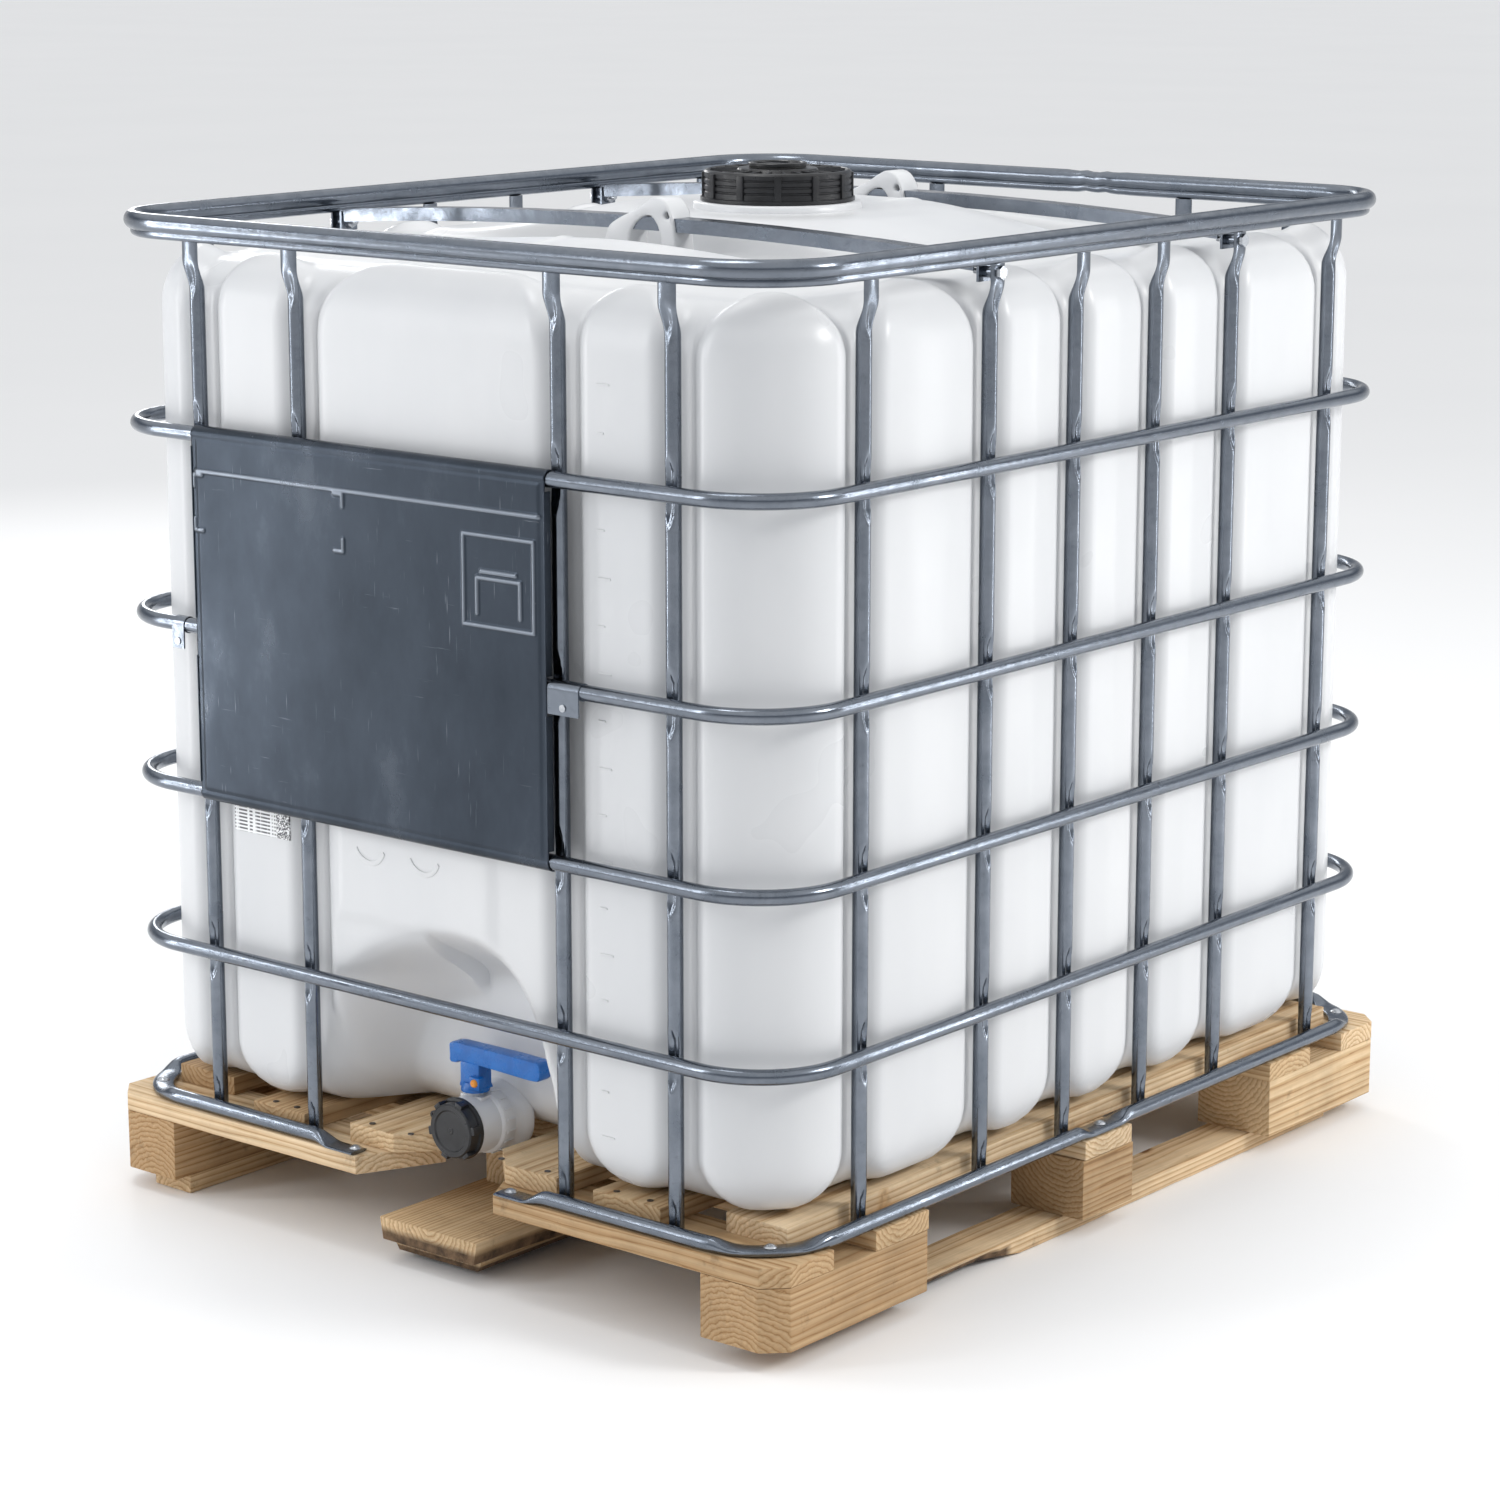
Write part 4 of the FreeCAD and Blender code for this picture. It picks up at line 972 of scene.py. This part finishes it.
def pallet():
    skid_top, sill_top, block_top, deck_top = 0.022, 0.052, 0.092, 0.136
    skid, on_skid, across = (0, skid_top, "y"), (skid_top, block_top, "y"), (block_top, DECK_Z, "x")
    wood_piece("skid_right", [(rectangle(412, 472, -512, 515), *skid)], 0.009)
    wood_piece("skid_left", [(rectangle(-458, -398, -577, 515), *skid)], 0.006)
    wood_piece("skid_centre", [(rectangle(-68, 68, -577, 580), *skid)], 0.008)
    wood_piece("sill_plank", [(rectangle(-66, 81, -600, -338), skid_top, sill_top, "y")], 0.004)
    wood_piece("blocks_corner", [(cut_corner(sx, sy), *on_skid) for sx in (-1, 1) for sy in (-1, 1)])
    wood_piece("blocks_side", [(rectangle(x, x + 100, -50, 50), *on_skid) for x in (400, -500)])
    wood_piece("blocks_centre", [(rectangle(-57, 45, -436, -341), sill_top, block_top, "y"),
                                 (rectangle(-50, 50, -50, 50), *on_skid),
                                 (rectangle(-50, 50, 342, 598), *on_skid)])
    x, y = 500 - CORNER_CUT, 600 - CORNER_CUT
    wood_piece("lead_board_front", [
        (mm([(-500, -y), (-x, -600), (-102, -600), (-54, -504), (-500, -504)]), *across),
        (mm([(106, -600), (x, -600), (500, -y), (500, -504), (54, -504)]), *across)])
    back = mm([(-500, 504), (500, 504), (500, y), (x, 600), (-x, 600), (-500, y)])
    wood_piece("lead_board_back", [(back, *across)])
    wood_piece("cross_boards", [(rectangle(-500, 500, mid - 46.5, mid + 46.5), *across)
                                for mid in (-386.5, 0.0, 386.5)])
    boards = [(377, 460, -532, 528, 0), (222, 317, -568, 560, 0), (52, 168, -565, 560, -1),
              (-145, -37, -565, 560, 1), (-288, -206, -576, 560, 0), (-460, -369, -530, 528, 0),
              (-30, 45, -424, 560, 0)]
    wood_piece("deck_boards", [(slanted(*b), DECK_Z, deck_top, "y") for b in boards])


# ---- fill opening
LID_AXIS = (0, LID_Y, 0)


def lid():
    """Screw lid: flanged, banded and ribbed wall, spoked top with a hole for the plug."""
    z0, z1 = 1.138, 1.173
    wall = mm([(89.5, 0), (89.5, 3.5), (85.8, 4.5)], z0)
    for k in range(3):
        wall += mm([(85.5, -1.6), (84.3, -0.6), (84.3, 0.6), (85.5, 1.6)], z0 + 0.0115 + 0.0072 * k)
    wall += mm([(85.5, -2.8), (83.8, -0.6), (81.5, 0), (79.0, -2.2), (48.0, -2.2), (45.5, 1.2), (40.0, 2.0),
                (36.0, 1.6), (28.5, 1.0), (28.5, -4.0), (78.0, -4.0)], z1) + [(0.0782, z0)]
    shape = Shape()
    shape.add(*turned(wall, 144, LID_AXIS))
    blocks_around(shape, LID_AXIS, "Z", 12, 9, (-0.0042, 0.0835, z0 + 0.003),
                  (0.0042, 0.0878, z1 - 0.0035), 0.0012)
    blocks_around(shape, LID_AXIS, "Z", 24, 0, (-0.0013, 0.0475, z1 - 0.003),
                  (0.0013, 0.0785, z1 + 0.0002), 0.0006)
    shape.piece("lid_cap", BLACK, "lid_body", ("lid",))


def vent_plug():
    """Plug with a sunk middle and a grip bar."""
    z = high("vent_plug").z - 0.004
    profile = mm([(34.0, 0.6), (34.0, 3.2), (33.2, 4.0), (29.0, 4.0), (28.0, 3.0), (27.6, 0.4), (6.0, -0.2),
                  (0.5, -0.2), (0.5, -2.0), (19.5, -2.0), (19.5, -8.0), (21.5, -8.0), (21.8, 0),
                  (33.5, 0)], z)
    shape = Shape()
    shape.add(*turned(profile, 96, LID_AXIS))
    shape.add_bmesh(block((-0.029, LID_Y - 0.002, z - 0.0006), (0.029, LID_Y + 0.002, z + 0.0028), 0.0007))
    shape.piece("vent_plug_head", BLACK, "vent_body", ("vent_plug",))


# ---- outlet
def lathe_forward(profile, steps, centre=(0, 0, OUT_Z)):
    """Lathe about an axis along Y; profile of (radius, y)."""
    verts, faces = turned(profile, steps, (0, 0, 0))
    return verts[:, [0, 2, 1]] + np.array(centre), faces


def valve_body():
    """White barrel that grows out of the bottle, with a union ring, threaded spout and stem boss."""
    profile = [(24.0, -549.0), (26.2, -549.0)]
    for y in (-547.2, -543.2, -539.0):
        profile += [(26.2, y), (28.0, y + 1.0), (26.2, y + 2.2)]
    profile += [(26.4, -535.2), (31.0, -534.5), (32.6, -532.5), (33.2, -523.0), (34.0, -506.0),
                (36.2, -504.0), (37.2, -502.0), (37.2, -489.0), (38.0, -482.0), (40.5, -475.0),
                (44.0, -469.0), (44.0, -464.0), (24.0, -464.0)]
    shape = Shape()
    shape.add(*lathe_forward(mm(profile), 72))
    boss = mm([(5.6, 20.0), (8.6, 20.0), (8.8, 38.5), (8.0, 44.0), (5.6, 44.0)])
    shape.add(*turned(boss, 40, (0, STEM_Y, OUT_Z)))
    shape.add_bmesh(block((-0.016, STEM_Y - 0.008, OUT_Z + 0.026),
                          (0.016, STEM_Y + 0.008, OUT_Z + 0.0335), 0.0015))
    shape.piece("valve_body_shell", BOTTLE, "container", ("valve_body",))
    shape = Shape()
    ring = mm([(33.5, -485.0), (37.0, -486.0), (37.6, -488.0), (37.6, -500.0), (36.8, -502.8),
               (30.0, -502.8), (30.0, -485.0)])
    shape.add(*lathe_forward(ring, 72))
    blocks_around(shape, (0, -0.494, OUT_Z), "Y", 18, 0, (-0.0016, 0.0368, -0.0066),
                  (0.0016, 0.0386, 0.0066), 0.0006)
    shape.piece("outlet_nut_ring", BOTTLE, "container", ("outlet_nut",))


def valve_handle():
    """T handle: flared skirt, narrow neck and a long hollow grip with a lip at its short end."""
    top = high("valve_handle").z
    shape = Shape()
    skirt = mm([(6.2, -51.5), (16.0, -53.2), (16.3, -51.0), (15.0, -46.0), (13.0, -43.0), (6.2, -43.0)], top)
    shape.add(*turned(skirt, 56, (0, STEM_Y, 0)))
    neck = mm([(-15, -49), (-13, -42), (-13, -20), (15, -20), (15, -44), (18, -49)], top)
    shape.add_bmesh(extruded(neck, STEM_Y - 0.0105, STEM_Y + 0.0105, 0.0016))
    grip = mm([(-31, -2), (-30, -18), (-31, -24.5), (-20, -24.5), (-17, -21), (16, -21), (90, -23.5),
               (102, -23), (106, -18), (106, -5), (103, -1), (60, 0), (-20, 0)], top)
    bm = extruded(soft_corners(grip, 0.003), STEM_Y - 0.011, STEM_Y + 0.011, 0.0034)
    for v in bm.verts:
        pinch = 1 - 0.1 * smooth((0.03 - v.co.x) / 0.05)
        v.co.y = STEM_Y + (v.co.y - STEM_Y) * pinch
    shape.add_bmesh(bm)
    lug = mm([(6.0, -47.5), (6.0, -33.0), (21.5, -33.0), (21.5, -47.5)], top)
    shape.add_bmesh(extruded(lug, STEM_Y - 0.0172, STEM_Y - 0.006, 0.0014))
    shape.piece("valve_handle_grip", BLUE, "valve_lever", ("valve_handle",), sharp=40.0)
    shape = Shape()
    button = mm([(0.4, -0.5), (3.0, -0.3), (4.3, 0.8), (4.7, 2.2), (4.7, 10.0), (0.4, 10.0)])
    shape.add(*lathe_forward(button, 36, (0.0145, STEM_Y - 0.02, OUT_Z + 0.052)))
    shape.piece("lock_button", ORANGE, "valve_lever", ("lock_screw",))


def dust_cap():
    """Black screw cap: two-step wall, six lugs, sunk face and a tether eye."""
    front = low("dust_cap").y
    profile = mm([(0.4, 1.0), (3.0, 0.8), (4.0, 1.6), (22.5, 1.6), (24.0, 0), (29.2, 0), (30.8, 1.6),
                  (31.2, 12.0), (31.8, 12.8), (34.5, 13.2), (35.2, 14.5), (35.2, 17.0), (34.4, 18.2),
                  (28.8, 18.2), (28.6, 3.0), (0.4, 3.0)], front)
    shape = Shape()
    shape.add(*lathe_forward(profile, 96))
    blocks_around(shape, (0, front + 0.0088, OUT_Z), "Y", 6, 20, (-0.0048, 0.0296, -0.0072),
                  (0.0048, 0.035, 0.0072), 0.0014)
    eye, hole = (arc_points((-0.0385, OUT_Z + 0.008), radius, 0, 360, steps)[:-1]
                 for radius, steps in ((0.0048, 20), (0.0023, 14)))
    shape.add_bmesh(extruded(eye, front + 0.0138, front + 0.0172, 0.0005, [hole]))
    shape.piece("dust_cap_shell", BLACK, "cap_body", ("dust_cap",))


# ---- CAD nodes that stay, with better finishes
def finish_cad(names, finish):
    for name in names:
        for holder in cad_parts[name].material_slots:
            holder.material = finish


# ---- stage, light and camera
def studio():
    bpy.ops.mesh.primitive_plane_add(size=240.0, location=(0, 0, -0.0005))
    floor = bpy.context.object
    floor.name = "studio_floor"
    made, tree, shader = material("floor_finish", Roughness=0.85)
    cloud = mottle(object_space(tree), 0.8, 2.0)
    wire(shader, Base_Color=ramp(cloud, [(0.3, (0.9, 0.902, 0.905)), (0.7, (0.915, 0.916, 0.918))]))
    floor.data.materials.append(made)
    world = bpy.data.worlds.new("studio")
    bpy.context.scene.world = world
    world.use_nodes = True
    sky = world.node_tree
    toward = node(sky, "TexCoord").outputs["Generated"]
    height = node(sky, "SeparateXYZ", {"Vector": toward}).outputs["Z"]
    # dim room walls below a bright ceiling, so that bare metal has something dark to reflect
    tint = ramp(height, [(0.0, (0.76, 0.766, 0.776)), (0.1, (0.62, 0.63, 0.65)),
                              (0.26, (0.22, 0.25, 0.3)), (0.38, (0.26, 0.29, 0.34)),
                              (0.52, (0.98, 0.99, 1.0)), (1.0, (1.0, 1.0, 1.0))])
    wire(sky.nodes["Background"], Color=tint)
    sky.nodes["Background"].inputs["Strength"].default_value = 0.98

    def softbox(name, place, aim, size_x, size_y, power, colour=(1.0, 1.0, 1.0)):
        light = bpy.data.lights.new(name, "AREA")
        light.shape = "RECTANGLE"
        light.size, light.size_y = size_x, size_y
        light.energy = power
        light.color = colour
        lamp = bpy.data.objects.new(name, light)
        lamp.location = place
        lamp.rotation_euler = (Vector(aim) - Vector(place)).to_track_quat("-Z", "Y").to_euler()
        lamp.visible_camera = False
        bpy.context.scene.collection.objects.link(lamp)

    softbox("key", (4.2, 1.6, 3.2), (0, 0, 0.6), 1.2, 1.2, 96, (1.0, 0.99, 0.97))
    softbox("front_fill", (-2.2, -4.2, 2.2), (0, -0.2, 0.6), 0.8, 2.2, 40)
    softbox("top", (-0.6, -0.6, 4.0), (0, 0, 0.8), 1.2, 1.2, 26)
    softbox("edge", (-4.0, 2.4, 2.4), (0, 0, 0.7), 0.6, 2.0, 26)
    # low strips that draw the bright lines down the upright tubes
    softbox("strip_front", (-2.05, -1.95, 0.95), (0, -0.4, 0.9), 0.16, 1.9, 15)
    softbox("strip_right", (2.3, 1.9, 0.95), (0.4, 0, 0.9), 0.14, 1.9, 13)


def camera():
    data = bpy.data.cameras.new("camera")
    data.sensor_width = 36.0
    data.lens = 95.8
    data.clip_end = 400.0
    made = bpy.data.objects.new("camera", data)
    made.location = (2.9203, -3.5992, 1.5194)
    made.rotation_euler = (math.radians(77.451), 0.0, math.radians(39.302))
    bpy.context.scene.collection.objects.link(made)
    bpy.context.scene.camera = made


bottle()
sticker()
bar_clip("bar_clip_front", 0.005, BAR_Y[0])
bar_clip("bar_clip_back", -0.03, BAR_Y[1])
rings()
top_rail()
base_rail()
uprights()
label_plate()
pallet()
lid()
vent_plug()
valve_body()
valve_handle()
dust_cap()
finish_cad(["crossbars", "plate_clips", "bolt_spacers"], GALVANISED)
finish_cad(["crossbar_bolts", "base_screws", "clip_rivets"], ZINC)
finish_cad(["deck_nails"], NAIL)
finish_cad(["lid_gasket", "vent_seal", "cap_seal"], RUBBER)
finish_cad(["butterfly_disc"], GREY)
studio()
camera()
bpy.context.scene.view_settings.view_transform = "Standard"

bpy.context.view_layer.update()
